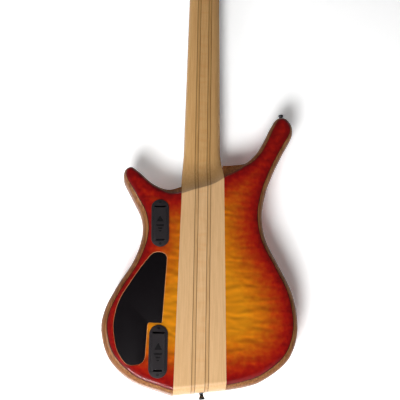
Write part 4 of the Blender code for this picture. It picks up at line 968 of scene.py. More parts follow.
for side, rim, routed in (("treble", TREBLE_RIM, ("cavity", "tubs", "pots", "jack")), ("bass", BASS_RIM, ())):
    wing = carved(half_body(rim, WING_DEPTHS), tools_for("room", "cove", "pickups", *routed))
    add_piece(f"body_wing_{side}_wood", wing, walnut, stands_for=(f"body_wing_{side}",), crease=25)
    behind = ("room", "cove", "cover", "cover flare", "tub mouths") if routed else ("room", "cove")
    figured_skin(f"back_cap_{side}_skin", rim, BACK_SKIN_DEPTHS, behind)
    in_front = ("room", "pickups", "pots") if routed else ("room", "pickups")
    figured_skin(f"top_cap_{side}_skin", rim, FRONT_SKIN_DEPTHS, in_front)

# %% [markdown]
# ## Neck, heel and block in one
# The neck's section is a D: a short side wall under a superellipse crown. Towards the heel it
# squares up and flares into the block, and its back climbs the same parabola that cuts the wings.
# The rows of the grid are slanted like the crease, so that the crease lies on one row and stays
# crisp. The tail is the last rows, drawn in along a quarter circle.

# %% Build the blank and the headstock
NECK_THICK_NUT = 14.5 * MM
NUT_THICK = 6 * MM
HEAD_ANGLE = math.radians(11)
HEAD_THICK = 14 * MM
VENEER_THICK = 1.5 * MM
LAST_FRET_Z = -864 * MM * (1 - 2 ** (-24 / 12))
HEAD_CORNERS = (
    (-25.4, -2.5, 0.1), (25.4, -2.5, 0.1), (26.5, 14.0, 48), (41.0, 38.0, 45), (40.0, 100.0, 400),
    (33.0, 160.0, 118), (18.0, 192.0, 26), (-22.0, 196.0, 24), (-35.0, 160.0, 128),
    (-41.0, 100.0, 400), (-41.0, 34.0, 40), (-26.5, 14.0, 38),
)
TUNERS = {1: (30, 60), 2: (28, 106), 3: (-26, 131), 4: (-28.5, 88), 5: (-29.5, 46)}
HEAD_PLANE = Matrix.Translation((0, 0, NUT_THICK)) @ Matrix.Rotation(-HEAD_ANGLE, 4, "X")


def neck_half_width(z):
    """A straight taper from 51 mm at the nut to 65 mm at the last fret."""
    return (51 * MM + 14 * MM * z / LAST_FRET_Z) / 2


def blank_half_width(z):
    """The neck's taper, flaring smoothly into the block over 65 mm."""
    flare = ease((-540 * MM - z) / (65 * MM))
    return neck_half_width(z) * (1 - flare) + block_half_width(z) * flare


def neck_thickness(z):
    """Straight from 14.5 mm at the nut to 17.5 mm at the heel, plus a bell-shaped volute at the nut."""
    along = np.clip(z / BLOCK_TOP_Z, 0, 1)
    return (NECK_THICK_NUT + (NECK_BACK - NECK_THICK_NUT) * along
            + 2.5 * MM * np.exp(-((z - 8 * MM) / (14 * MM)) ** 2))


def neck_rows(z, height, squareness, across):
    """Rows of the section y = wall + (height - wall) (1 - |u|^2.4)^(1/2.4), filled out by squareness.

    Past the nut only the back goes on, inside the headstock, so that the two meet in a slope."""
    wall = 3 * MM
    crown = wall + (height - wall) * (1 - np.abs(across) ** 2.4) ** (1 / 2.4)
    back = crown + (height - crown) * squareness
    half = blank_half_width(z)
    grid = np.stack([half * across, back, z], axis=-1)
    front = grid[:, [0, -1]] * np.array([1, 0, 1])
    front[..., 1] = np.where(front[..., 2] > 6.8 * MM, 6 * MM, 0)
    return np.concatenate([front[:, :1], grid, front[:, 1:]], axis=1)


def heel_crease_z(x):
    crease = spline_through(HEEL_CREASE, 6)[::-1] * MM
    return np.interp(x, crease[:, 0], crease[:, 1])


def tail_rows(inset, across):
    """Rows near the slanted tail, whose edges are rounded like the body's."""
    x = np.broadcast_to(block_half_width(-TAIL_FROM_NUT) * across, (len(inset), len(across)))
    z = -TAIL_FROM_NUT + TAIL_SLANT * x + inset[:, None]
    back = BODY_THICKNESS - BACK_ROUND * rounding(TAIL_ROUND - inset, TAIL_ROUND)
    front = FRONT_ROUND * rounding(TAIL_ROUND * FRONT_SHARE - inset, TAIL_ROUND * FRONT_SHARE)
    grid = np.stack([x, np.broadcast_to(back[:, None], x.shape), z], axis=-1)
    edge = grid[:, [0, -1]].copy()
    edge[..., 1] = front[:, None]
    return np.concatenate([edge[:, :1], grid, edge[:, 1:]], axis=1)


def blank_skin():
    """The whole blank as one grid: neck rows, rows slanted like the crease, then tail rows."""
    across = np.sin(np.linspace(-math.pi / 2, math.pi / 2, 65))
    level = np.concatenate([[14, 10.5, 7], np.linspace(6.05, -34, 16), np.linspace(-45, -460, 24)])[:, None] * MM
    neck = neck_rows(level + 0 * across, neck_thickness(level), ease(1 + (level - NUT_THICK) / (40 * MM)), across)
    crease = heel_crease_z(BLOCK_HALF_TOP * across)
    middle = crease[len(crease) // 2]
    travel = np.linspace(100, 0, 46)[:, None] * MM
    z = middle + travel + (crease - middle) * (1 - ease(travel / (120 * MM)))
    height = cove_height(travel, neck_thickness(middle + travel))
    heel = neck_rows(z, height, 1 - ease((travel - 14 * MM) / (70 * MM)), across)
    tail = tail_rows(TAIL_ROUND * (1 - np.sin(np.linspace(0, math.pi / 2, 12))), across)
    return skin(np.concatenate([neck, heel, tail]))


def head_skin():
    """The headstock's plate with its back edge rounded over 2 mm, drilled for the tuners."""
    turn = np.linspace(0, math.pi / 2, 5)
    back = VENEER_THICK + HEAD_THICK
    profile = [(VENEER_THICK, 0.0), *zip(back - 2 * MM * (1 - np.sin(turn)), 2 * MM * (1 - np.cos(turn)))]
    buried = [(across, -9.0 if height < 0 else height, radius) for across, height, radius in HEAD_CORNERS]
    plate = layers(rounded_outline(buried), profile)
    holes = [prism(circle(6.5 * MM, 32, x * MM, z * MM), -10 * MM, 30 * MM) for x, z in TUNERS.values()]
    return placed(carved(plate, holes), HEAD_PLANE)


blank = carved(carved(blank_skin(), [head_skin()], "UNION"), tools_for("pickups"))
print("blank:", len(blank.polygons), "faces")

# %% [markdown]
# ## Five laminations
# The blank is glued up from five strips, so it is sliced by upright planes. The outer and middle
# strips are pale maple. The two narrow stringers are browner, and their dark veneers show as
# thin lines that run from the headstock to the tail.

# %% Slice the blank
STRINGER_INNER = 6.9 * MM
STRINGER_OUTER = 13.2 * MM
FAR = 80 * MM
STRIPS = (
    ("neck_center_lamination", -STRINGER_INNER, STRINGER_INNER, maple),
    ("neck_stringer_treble", STRINGER_INNER, STRINGER_OUTER, stringer),
    ("neck_stringer_bass", -STRINGER_OUTER, -STRINGER_INNER, stringer),
    ("neck_outer_lamination_treble", STRINGER_OUTER, FAR, maple),
    ("neck_outer_lamination_bass", -FAR, -STRINGER_OUTER, maple),
)
for name, low, high, finish in STRIPS:
    strip = carved(blank.copy(), [block((low, -60 * MM, -1.2), (high, 120 * MM, 0.4))], "INTERSECT")
    if "center" in name:
        strip = carved(strip, [block((-3.3 * MM, -5 * MM, -585.3 * MM), (3.3 * MM, 9.3 * MM, 34 * MM))])
    add_piece(name + "_wood", strip, finish, stands_for=(name,))

# %% [markdown]
# ## Turned, rounded and drawn shapes
# Most hardware is one of three kinds. A strap button or a knob is turned: a profile carried round
# an axis. A pickup or a tuner's housing is a block with rounded edges. A string is a circle
# carried along a path. One function makes each kind, and small screws are made from the first.

# %% Helpers for hardware shapes
FROM_FRONT = Matrix.Rotation(math.pi / 2, 4, "X")  # turns +Z to point out of the front
FROM_BACK = Matrix.Rotation(-math.pi / 2, 4, "X")  # turns +Z to point out of the back


def turned(corners, steps=48):
    """Corners (radius, height, rounding) in mm, from the axis back to the axis, carried round Z."""
    radius, height = rounded_outline(corners, 4).T
    angle = np.linspace(0, 2 * math.pi, steps, endpoint=False)
    return skin(np.stack([radius[:, None] * np.cos(angle), radius[:, None] * np.sin(angle),
                          np.broadcast_to(height[:, None], (len(height), steps))], axis=-1))


def rounded_block(low, high, radius, steps=4):
    """A block in mm with round edges: a ball's surface whose eight octants are moved apart.

    Point = centre + (half size - radius) * signs of the octant + radius * the ball's normal."""
    low, high, radius = np.array(low) * MM, np.array(high) * MM, radius * MM
    quarter = np.linspace(0, math.pi / 2, steps + 1)
    polar = np.concatenate([quarter, math.pi - quarter[::-1]])[:, None]
    azimuth = (quarter + math.pi / 2 * np.arange(4)[:, None]).ravel()
    signs = np.broadcast_arrays(np.repeat([1, -1, -1, 1], steps + 1), np.repeat([1, 1, -1, -1], steps + 1),
                                np.repeat([1, -1], steps + 1)[:, None])
    normal = np.broadcast_arrays(np.sin(polar) * np.cos(azimuth), np.sin(polar) * np.sin(azimuth), np.cos(polar))
    return skin((low + high) / 2 + ((high - low) / 2 - radius) * np.stack(signs, axis=-1)
                + radius * np.stack(normal, axis=-1))


def tube(path, radius, sides=12, beside=(0, 1, 0)):
    """A circle carried along a path: p + r (n cos a + b sin a), n across the path and `beside`."""
    tangent = unit(np.gradient(path, axis=0))
    across = unit(np.cross(tangent, beside))
    over = np.cross(tangent, across)
    angle = np.linspace(0, 2 * math.pi, sides, endpoint=False)[:, None]
    ring = across[:, None] * np.cos(angle) + over[:, None] * np.sin(angle)
    return skin(path[:, None] + np.broadcast_to(radius, len(path))[:, None, None] * ring)


def cube(low, high):
    """A plain block between two corners in mm."""
    return block(np.array(low) * MM, np.array(high) * MM)


def screw_head(radius, dome=0.5):
    """A domed screw head in mm with a cross recess, pointing along +Z."""
    head = turned(((0, dome, 0), (radius * 0.75, dome * 0.8, radius * 0.4), (radius, 0, 0.05),
                   (radius * 0.5, -1.0, 0), (0, -1.0, 0)), 24)
    long, wide, floor = radius * 0.62, radius * 0.13, dome - 0.6
    return carved(head, [cube((-long, -wide, floor), (long, wide, 2)), cube((-wide, -long, floor), (wide, long, 2))])


def screws_at(places, radius, turn, base=Matrix.Identity(4)):
    """Screw heads at places in mm, each turned to face the given way."""
    return joined(*[placed(screw_head(radius), base @ Matrix.Translation(Vector(place) * MM) @ turn)
                    for place in places])


def along(outline, shares):
    """Points at shares of the way round a closed outline."""
    ring = np.vstack([outline, outline[:1]])
    length = np.concatenate([[0], np.cumsum(np.linalg.norm(np.diff(ring, axis=0), axis=1))])
    return np.column_stack([np.interp(shares * length[-1], length, ring[:, axis]) for axis in (0, 1)])


# %% [markdown]
# ## Battery boxes
# Each black oval is a box for a nine-volt battery. A moulded flange lies on the skin, a deep tub
# hangs below it, and a door swings out on a hinge at its tail end, with the battery in its cradle.
# The marks on the door are sunk and blackened: a triangle that points to the finger slot, and bars
# that get shorter the other way. The door and its battery ride together on the tray's body.

# %% Build the battery boxes
BOX_WIDTH, BOX_LENGTH = 28.2, 79.0
TUB_WALL = 1.5
DOOR_HALF, DOOR_LENGTH = 10.8, 57.3
HINGE_HEIGHT = -28.7  # from the box's centre
CELL_LENGTH = 46.4
CELL_START = 2.2  # from the hinge to the cell
DOOR_MARKS = ((7.5, 6.2, 10.6), (-4.0, 6.0, 3.3), (-9.0, 3.5, 2.8), (-13.4, 1.9, 2.4))  # height, half width, size


def pill(width, length, steps=24):
    """Two half circles of the width joined by straight sides, in mm, long along the second axis."""
    angle = np.linspace(0, math.pi, steps)
    arc = np.column_stack([np.cos(angle), np.sin(angle)]) * width / 2
    lift = np.array([0, (length - width) / 2])
    return np.concatenate([arc + lift, -arc - lift]) * MM


def housing_mesh():
    width, depth, length = TUB_SIZE
    edge = [(0.3, 0.0), (1.2, 0.0), (1.6, 0.15), (1.8, 0.5)]
    flange = layers(pill(BOX_WIDTH, BOX_LENGTH), [(y * MM, inset * MM) for y, inset in edge])
    shell = carved(flange, [cube((-width / 2, -depth, -length / 2), (width / 2, 1.0, length / 2))], "UNION")
    inner = width / 2 - TUB_WALL
    hollow = cube((-inner, TUB_WALL - depth, TUB_WALL - length / 2), (inner, -0.6, length / 2 - TUB_WALL))
    mouth = cube((-inner, -2, HINGE_HEIGHT - 1.2), (inner, 20, HINGE_HEIGHT + DOOR_LENGTH + 0.6))
    return carved(shell, [hollow, mouth])


def mark_outline(height, half, size):
    """The first mark is a triangle, the others are bars that taper with it."""
    middle = height - HINGE_HEIGHT
    if size > 5:
        return np.array([[-half, middle - size / 2], [half, middle - size / 2], [0, middle + size / 2]]) * MM
    top, foot = half + size / 4, half - size / 4
    return np.array([[-foot, middle - size / 2], [foot, middle - size / 2], [top, middle + size / 2],
                     [-top, middle + size / 2]]) * MM


def door_mesh():
    """Lid with its hinge roll, finger slot and sunk marks, and the cradle's two cheeks and end."""
    cradle_end = 52.2
    lid = rounded_block((-DOOR_HALF, -0.8, -0.8), (DOOR_HALF, 0.8, DOOR_LENGTH), 0.6)
    cheeks = [rounded_block((side * 10.1 - 0.7, -20, CELL_START), (side * 10.1 + 0.7, 0, cradle_end), 0.5)
              for side in (-1, 1)]
    end = rounded_block((-10.3, -20, cradle_end - 1.2), (10.3, 0, cradle_end), 0.4)
    whole = carved(lid, [*cheeks, end], "UNION")
    window = placed(prism(pill(9, 34), -20 * MM, 20 * MM),
                    Matrix.Translation((0, -11 * MM, 27 * MM)) @ Matrix.Rotation(math.pi / 2, 4, "Z"))
    finger = cube((-8.8, -3, DOOR_LENGTH - 2.6), (8.8, 3, DOOR_LENGTH + 3))
    hinge_slot = cube((-6.5, -3, -3), (6.5, 3, 1.6))
    marks = [prism(mark_outline(*mark), 0.35 * MM, 3 * MM) for mark in DOOR_MARKS]
    return carved(whole, [window, finger, hinge_slot, *marks])


def cell_mesh():
    return rounded_block((-8.75, -27.6, CELL_START), (8.75, -1.1, CELL_START + CELL_LENGTH), 1.3)


def terminals_mesh():
    """Two snap contacts on the cell's end: a round one and a six-sided one."""
    end = CELL_START + CELL_LENGTH
    stud = turned(((0, 2.1, 0), (2.4, 2.1, 0.5), (2.1, 0.8, 0.2), (2.4, 0.0, 0), (0, 0, 0)), 24)
    socket = carved(turned(((0, 2.1, 0), (2.8, 2.1, 0.2), (2.8, 0.0, 0), (0, 0, 0)), 6),
                    [turned(((0, 3, 0), (1.9, 3, 0), (1.9, 0.6, 0), (0, 0.6, 0)), 24)])
    middle = -1.1 - 13.25
    return joined(placed(stud, Matrix.Translation((0, (middle - 6.35) * MM, end * MM))),
                  placed(socket, Matrix.Translation((0, (middle + 6.35) * MM, end * MM))))


for side in BATTERY_BOXES:
    seat = box_seat(side)
    hinge = seat @ Matrix.Translation((0, 1.0 * MM, HINGE_HEIGHT * MM))
    tray = f"battery_tray_{side}"
    add_piece(f"battery_box_{side}", placed(housing_mesh(), seat), box_plastic,
              stands_for=(f"battery_housing_{side}",))
    flange_screws = screws_at([(0, 1.7, 34.6), (0, 1.7, -34.6)], 1.9, FROM_BACK, seat)
    add_piece(f"battery_box_screws_{side}", flange_screws, screw_black)
    add_piece(f"battery_lid_{side}", placed(door_mesh(), hinge), box_plastic, body=tray,
              stands_for=(f"battery_door_{side}",))
    marks = joined(*[prism(inset_outline(mark_outline(*mark), 0.05 * MM), 0.3 * MM, 0.42 * MM) for mark in DOOR_MARKS])
    add_piece(f"battery_marks_{side}", placed(marks, hinge), mark_black, body=tray)
    add_piece(f"battery_cell_{side}", placed(cell_mesh(), hinge), cell_case, body=tray,
              stands_for=(f"battery_{side}",))
    add_piece(f"battery_terminals_{side}", placed(terminals_mesh(), hinge), steel, body=tray)

# %% [markdown]
# ## Control cover, strap buttons and output socket
# The cover is a flat plate let in flush with the skin, its edge eased a little, held by small
# screws along the ledge. A strap button is turned: a waist that flares to a head, with the screw
# that holds it. The output socket is a barrel in the treble edge, bored for a quarter-inch plug.

# %% Build the cover, the buttons and the socket
COVER_SCREWS = 6
cover_edge = [(37.8, 0.0), (39.7, 0.0), (39.92, 0.1), (40.0, 0.35)]
cover = layers(cover_outline(), [(y * MM, inset * MM) for y, inset in cover_edge])
add_piece("control_cover_plate", cover, satin_plastic, stands_for=("control_cover",))
screw_line = along(inset_outline(cover_outline(), 3.4 * MM), (np.arange(COVER_SCREWS) + 0.35) / COVER_SCREWS) / MM
cover_screws = screws_at([(x, 39.7, z) for x, z in screw_line], 1.5, FROM_BACK)
add_piece("control_cover_screws", cover_screws, screw_black)


def strap_button_mesh():
    button = turned(((0, 10.2, 0), (4.6, 10.2, 0.9), (4.5, 8.0, 0.7), (3.0, 5.2, 1.6), (3.0, 1.8, 1.2),
                     (3.8, 0.3, 0.3), (0, 0.3, 0)))
    recess = turned(((0, 12, 0), (2.6, 12, 0), (2.1, 9.6, 0), (0, 9.6, 0)), 32)
    return joined(carved(button, [recess]), placed(screw_head(2.0, 0.4), Matrix.Translation((0, 0, 9.65 * MM))))


EDGE_MIDDLE = 18.5 * MM
BUTTONS = {"strap_button_tail": ((-3.7 * MM, EDGE_MIDDLE, -TAIL_FROM_NUT - TAIL_SLANT * 3.7 * MM), (TAIL_SLANT, 0, -1)),
           "strap_button_horn": ((-136 * MM, EDGE_MIDDLE, -479 * MM), (0, 0, 1))}
for name, (place, direction) in BUTTONS.items():
    seat = Matrix.Translation(place) @ Vector(direction).to_track_quat("Z", "Y").to_matrix().to_4x4()
    add_piece(name + "_turned", placed(strap_button_mesh(), seat), black_metal, stands_for=(name,))

barrel = turned(((0, 0, 0), (6.0, 0, 0.5), (6.0, -1.6, 0.1), (5.6, -2.0, 0.1), (5.6, -30, 0.5), (0, -30, 0)))
bore = turned(((0, 1, 0), (3.9, 1, 0), (3.4, -0.7, 0.2), (3.4, -28, 0), (0, -28, 0)))
socket_turn = Matrix.Translation(JACK_PLACE) @ Matrix.Rotation(math.pi / 2, 4, "Y")
add_piece("output_socket", placed(carved(barrel, [bore]), socket_turn), black_metal, stands_for=("output_jack",))

# %% [markdown]
# ## Fretboard, frets and dots
# The fretboard is a plank of dark wood, crowned across and tapered along. Each fret is a bead of
# wire hammered into it, so its section follows the crown and its ends are filed to a slant. Dots
# of pearl mark the frets that players count by, on the face and, smaller, on the bass edge. One
# function gives the board's surface, and everything on the board is laid on that.

# %% Build the fretboard, the frets and the dots
GAP = 0.3 * MM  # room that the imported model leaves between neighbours
BOARD_THICK, BOARD_CROWN = 6.0 * MM, 1.2 * MM
FRET_SECTION = np.array([(1.25, -0.5), (1.25, 0.05), (1.05, 0.6), (0.6, 1.0), (0, 1.15),
                         (-0.6, 1.0), (-1.05, 0.6), (-1.25, 0.05), (-1.25, -0.5)]) * MM
DOTTED = {3: 1, 5: 1, 7: 1, 9: 1, 12: 2, 15: 1, 17: 1, 19: 1, 21: 1, 24: 2}


def board_face(share):
    """How far the board's face stands out of the neck, lowest at its edges: thick - crown u^2."""
    return GAP + BOARD_THICK - BOARD_CROWN * share ** 2


def fret_z(number):
    """Each fret lies at the scale times 1 - 2^(-n/12) from the nut."""
    return -864 * MM * (1 - 2 ** (-number / 12))


def fretboard_mesh():
    share = np.sin(np.linspace(-1, 1, 33) * 1.48) / math.sin(1.48)
    z = np.linspace(-0.3, -665, 40)[:, None] * MM
    half = neck_half_width(z)
    eased = board_face(share) - 0.35 * MM * np.maximum(0, np.abs(share) - 0.985) / 0.015
    face = np.stack(np.broadcast_arrays(half * share, -eased, z), axis=-1)
    under = face[:, [-1, 0]] * np.array([1, 0, 1]) - np.array([0, GAP, 0])
    return skin(np.concatenate([face, under], axis=1))


def fret_mesh(number):
    """The wire's section at shares across the neck; the outer shares drop to slant the ends."""
    share = np.array([-0.995, -0.97, *np.linspace(-0.94, 0.94, 15), 0.97, 0.995])[:, None]
    filed = np.clip((1.0 - np.abs(share)) / 0.05, 0.05, 1.0)
    z, rise = FRET_SECTION.T
    grid = np.broadcast_arrays(neck_half_width(fret_z(number)) * share,
                               -board_face(share) - np.where(rise > 0, rise * filed, rise), fret_z(number) + z)
    return skin(np.stack(grid, axis=-1))


def dot_mesh(x, z, radius):
    """A disc laid on the board's face and tilted with its crown."""
    half = neck_half_width(z)
    tilt = Matrix.Rotation(2 * BOARD_CROWN * x / half ** 2, 4, "Z")
    return placed(turned(((0, 0.05, 0), (radius, 0.03, 0), (radius, -1.5, 0), (0, -1.5, 0)), 32),
                  Matrix.Translation((x, -board_face(x / half), z)) @ tilt @ FROM_FRONT)


def side_dot_mesh(z):
    place = Matrix.Translation((-neck_half_width(z) - 0.02 * MM, -2.6 * MM, z)) @ Matrix.Rotation(-math.pi / 2, 4, "Y")
    return placed(turned(((0, 0, 0), (1.1, 0, 0), (1.1, -1.5, 0), (0, -1.5, 0)), 20), place)


add_piece("fretboard_crowned", fretboard_mesh(), ebony, stands_for=("fretboard",))
add_piece("frets", joined(*[fret_mesh(number) for number in range(1, 25)]), steel)
dots, side_dots = [], []
for fret, count in DOTTED.items():
    z = (fret_z(fret) + fret_z(fret - 1)) / 2
    dots += [dot_mesh(x * MM, z, 3.1) for x in ((0,) if count == 1 else (-10, 10))]
    side_dots += [side_dot_mesh(z + shift * MM) for shift in ((0,) if count == 1 else (-2.6, 2.6))]
add_piece("position_dots", joined(*dots), pearl)
add_piece("side_dots", joined(*side_dots), pearl)

# %% [markdown]
# ## Nut and headstock face
# The nut is a bar with one round-bottomed slot a string. The headstock wears a dark veneer, which
# hides the laminations' end and is cut away over the truss rod, and a small plate covers that
# opening. Slots are cut with a tool whose floor is round, as a nut file leaves it.

# %% Build the nut and the headstock's face
STRING_RADII = {1: 0.6, 2: 0.8, 3: 1.0, 4: 1.3, 5: 1.6}  # in mm
NUT_STRING_HEIGHT = 8.6  # in mm, in front of the neck's joint
ROD_COVER = ((-8, 1.4, 1.5), (8, 1.4, 1.5), (9.5, 20, 8), (0, 46, 5), (-9.5, 20, 8))


def string_x(number, z):
    """The strings fan out evenly from 42 mm at the nut to 66 mm at the bridge."""
    return (3 - number) / 4 * (42 * MM + 24 * MM * z / (-864 * MM))


def slot_tool(x, floor, radius, low, high):
    """A file's cut along Z between low and high: a round floor, open towards the front."""
    reach = radius + 0.28
    outline = rounded_outline([(x / MM - reach, floor, reach * 0.95), (x / MM + reach, floor, reach * 0.95),
                               (x / MM + reach, 30, 0), (x / MM - reach, 30, 0)])
    return placed(prism(outline, low * MM, high * MM), FROM_FRONT)


nut_slots = [slot_tool(string_x(number, 0), NUT_STRING_HEIGHT - radius - 0.3, radius, -5, 15)
             for number, radius in STRING_RADII.items()]
nut_half = neck_half_width(0) / MM
nut = carved(rounded_block((-nut_half, -9.2, 0), (nut_half, -0.3, NUT_THICK / MM), 0.9), nut_slots)
add_piece("nut_slotted", nut, satin_plastic, stands_for=("nut",))

clear_of_nut = [(across, max(height, 0.1), max(radius, 0.8)) for across, height, radius in HEAD_CORNERS]
veneer_edge = [(VENEER_THICK, 0.0), (0.35 * MM, 0.0), (0.1 * MM, 0.1 * MM), (0.0, 0.35 * MM)]
veneer_holes = [prism(circle(6.7 * MM, 40, x * MM, z * MM), -5 * MM, 5 * MM) for x, z in TUNERS.values()]
veneer = carved(layers(rounded_outline(clear_of_nut), veneer_edge), [*veneer_holes, cube((-4, -5, -5), (4, 5, 26))])
add_piece("headstock_face", placed(veneer, HEAD_PLANE), ebony, stands_for=("headstock_veneer",))
rod_cover_edge = [(-GAP, 0.0), (-1.8 * MM, 0.0), (-2.15 * MM, 0.15 * MM), (-2.3 * MM, 0.5 * MM)]
rod_cover = placed(layers(rounded_outline(ROD_COVER), rod_cover_edge), HEAD_PLANE)
add_piece("rod_cover_plate", rod_cover, satin_plastic, stands_for=("truss_rod_cover",))
add_piece("rod_cover_screws", screws_at([(0, -2.2, 5.6), (0, -2.2, 30.0)], 1.6, FROM_FRONT, HEAD_PLANE), black_metal)

# %% [markdown]
# ## Tuners
# A sealed machine head has a cast housing behind the headstock, with a worm and a wheel inside. A
# nut and a washer clamp it from the front round the post. The post has a waist, so that the
# string's turns slide together, and a slot across its top. Post and key turn on bodies of their
# own, so each is a piece of its own.

# %% Build the tuners
HOUSING_BACK = 28.6  # in mm behind the headstock's face
WORM_DEPTH, WORM_HEIGHT = 22.35, 8.0
HOUSING_SCREWS = ((-8.2, -11.2), (8.2, -11.2))


def tuner_frame_mesh(side):
    """Housing, bushing, washer and nut in one, drilled for the post, the key and two screws."""
    housing = rounded_block((-12, 16.1, -15), (12, HOUSING_BACK, 15), 3)
    bushing = turned(((0, 1.5, 0), (6.4, 1.5, 0.1), (6.4, -18.1, 0), (0, -18.1, 0)), 40)
    washer = turned(((0, 1.5, 0), (8.4, 1.5, 0.5), (8.4, 0.3, 0.1), (0, 0.3, 0)), 40)
    clamp = turned(((0, 3.0, 0), (7.0, 3.0, 0.5), (7.0, 1.2, 0), (0, 1.2, 0)), 6)
    collar = turned(((0, 13.2, 0), (4.6, 13.2, 0.5), (4.6, 6, 0), (0, 6, 0)), 32)
    to_key = Matrix.Translation((0, WORM_DEPTH * MM, WORM_HEIGHT * MM)) @ Matrix.Rotation(side * math.pi / 2, 4, "Y")
    whole = carved(housing, [*(placed(part, FROM_FRONT) for part in (bushing, washer, clamp)),
                             placed(collar, to_key)], "UNION")
    post_room = placed(turned(((0, 10, 0), (4.5, 10, 0), (4.5, -19.1, 0), (0, -19.1, 0)), 40), FROM_FRONT)
    key_room = placed(turned(((0, 20, 0), (2.9, 20, 0), (2.9, 4, 0), (0, 4, 0)), 32), to_key)
    sinks = [placed(turned(((0, 3, 0), (2.5, 3, 0), (2.5, -0.9, 0), (0, -0.9, 0)), 28),
                    Matrix.Translation(Vector((x, HOUSING_BACK, z)) * MM) @ FROM_BACK) for x, z in HOUSING_SCREWS]
    return carved(whole, [post_room, key_room, *sinks])


def post_mesh():
    """Head, waist and shaft; the slot for the string goes across the top, with a hole for its end."""
    post = turned(((0, 16, 0), (5.2, 16, 0.8), (5.4, 14, 0.5), (3.95, 12.4, 1.2), (3.95, 5.0, 0.8),
                   (4.2, 4.0, 0.3), (4.2, -18.1, 0.2), (0, -18.1, 0)), 40)
    hole = turned(((0, 20, 0), (1.5, 20, 0), (1.5, 8, 0), (0, 8, 0)), 24)
    return placed(carved(post, [cube((-8, -1.1, 12.6), (8, 1.1, 20)), hole]), FROM_FRONT)


def key_mesh(side):
    """A shaft with a collar, and a button that is thin at its rim and thick along its middle."""
    shaft = turned(((0, 26.5, 0), (2.6, 26.5, 0), (2.6, 5, 0.3), (0, 5, 0)), 32)
    collar = turned(((0, 26.5, 0), (4.0, 26.5, 0.4), (3.3, 23.5, 0.8), (3.3, 21.5, 0.5), (0, 21.5, 0)), 32)
    button = rounded_block((-11, -4, -8), (11, 4, 8), 3.9)
    points = np.empty(len(button.vertices) * 3)
    button.vertices.foreach_get("co", points)
    points = points.reshape(-1, 3)
    points[:, 1] *= 1 - 0.45 * (points[:, 2] / (8 * MM)) ** 2
    points[:, 2] *= 0.86 + 0.14 * points[:, 0] / (11 * MM)
    button.vertices.foreach_set("co", points.ravel())
    outwards = Matrix.Rotation(side * math.pi / 2, 4, "Y")
    to_tip = Matrix.Translation((side * 36 * MM, 0, 0)) @ Matrix.Rotation(0 if side > 0 else math.pi, 4, "Y")
    return carved(placed(shaft, outwards), [placed(collar, outwards), placed(button, to_tip)], "UNION")


for number, (across, height) in TUNERS.items():
    side = 1 if across > 0 else -1
    seat = HEAD_PLANE @ Matrix.Translation(Vector((across, 0, height)) * MM)
    to_worm = seat @ Matrix.Translation((0, WORM_DEPTH * MM, WORM_HEIGHT * MM))
    add_piece(f"machine_head_{number}", placed(tuner_frame_mesh(side), seat), black_metal,
              stands_for=(f"tuner_frame_{number}",))
    head_screws = screws_at([(x, HOUSING_BACK - 0.7, z) for x, z in HOUSING_SCREWS], 2.2, FROM_BACK, seat)
    add_piece(f"machine_head_screws_{number}", head_screws, black_metal)
    add_piece(f"string_post_{number}", placed(post_mesh(), seat), black_metal, body=f"post_{number}",
              stands_for=(f"tuner_post_{number}",))
    add_piece(f"key_button_{number}", placed(key_mesh(side), to_worm), black_metal, body=f"key_{number}",
              stands_for=(f"tuner_key_{number}",))

# %% [markdown]
# ## Strings
# A bass string is a steel core with wire wound round it. It starts at a ball behind the bridge,
# bends over the saddle and the nut, and winds one and a half times round its post. The path is a
# row of points, rounded a little at each bend, and the length along it is stored on the mesh, so
# that the finish can draw the winding's ribs.

# %% Build the strings
WINDING_TURNS = 1.6


def string_path(number):
    """Straight runs from ball to nut, then a screw line round the post."""
    radius = STRING_RADII[number]
    x, x_nut = string_x(number, -864 * MM) / MM, string_x(number, 0) / MM
    runs = [(x, -6.5, -893.4), (x, -6.5, -886.5), (x, -7.2, -885), (x, -11.9, -868.3), (x, -12.35, -866.5),
            (x, -12.6, -864), *zip(np.linspace(x, x_nut, 60)[1:-1], np.linspace(-12.6, -8.6, 60)[1:-1],
                                   np.linspace(-864, 0, 60)[1:-1]), (x_nut, -8.6, 0), (x_nut, -8.3, 6)]
    across, height = TUNERS[number]
    side = 1 if across > 0 else -1
    ring, pitch = 4.5 + radius, 2 * radius + 0.5
    angle = np.linspace(0, 2 * math.pi * WINDING_TURNS, 58)
    turns = np.stack([across - side * ring * np.cos(angle), -9 + pitch * angle / (2 * math.pi) - 0.5 * pitch,
                      height + ring * np.sin(angle)], axis=-1) * MM
    matrix = np.array(HEAD_PLANE)
    return np.vstack([np.array(runs) * MM, turns @ matrix[:3, :3].T + matrix[:3, 3]])


def string_mesh(number):
    path = string_path(number)
    mesh = tube(path, STRING_RADII[number] * MM, 12, beside=(0, math.cos(HEAD_ANGLE), -math.sin(HEAD_ANGLE)))
    length = np.concatenate([[0], np.cumsum(np.linalg.norm(np.diff(path, axis=0), axis=1))])
    stored = mesh.attributes.new("along", "FLOAT", "POINT")
    stored.data.foreach_set("value", np.repeat(length, 12).astype(np.float32))
    return mesh


def ball_mesh(number):
    """The grooved ferrule that the string's end is wound round."""
    x = string_x(number, -864 * MM)
    ferrule = turned(((0, 2.2, 0), (2.6, 2.2, 0.3), (2.6, 1.4, 0.2), (1.8, 0.8, 0.5), (1.8, -0.8, 0.5),
                      (2.6, -1.4, 0.2), (2.6, -2.2, 0.3), (0, -2.2, 0)), 28)
    return placed(ferrule, Matrix.Translation((x, -6.5 * MM, -895.8 * MM)))


for number in STRING_RADII:
    add_piece(f"string_wound_{number}", string_mesh(number), wound_steel, stands_for=(f"string_{number}",))
add_piece("ball_ends", joined(*[ball_mesh(number) for number in STRING_RADII]), ball_brass)

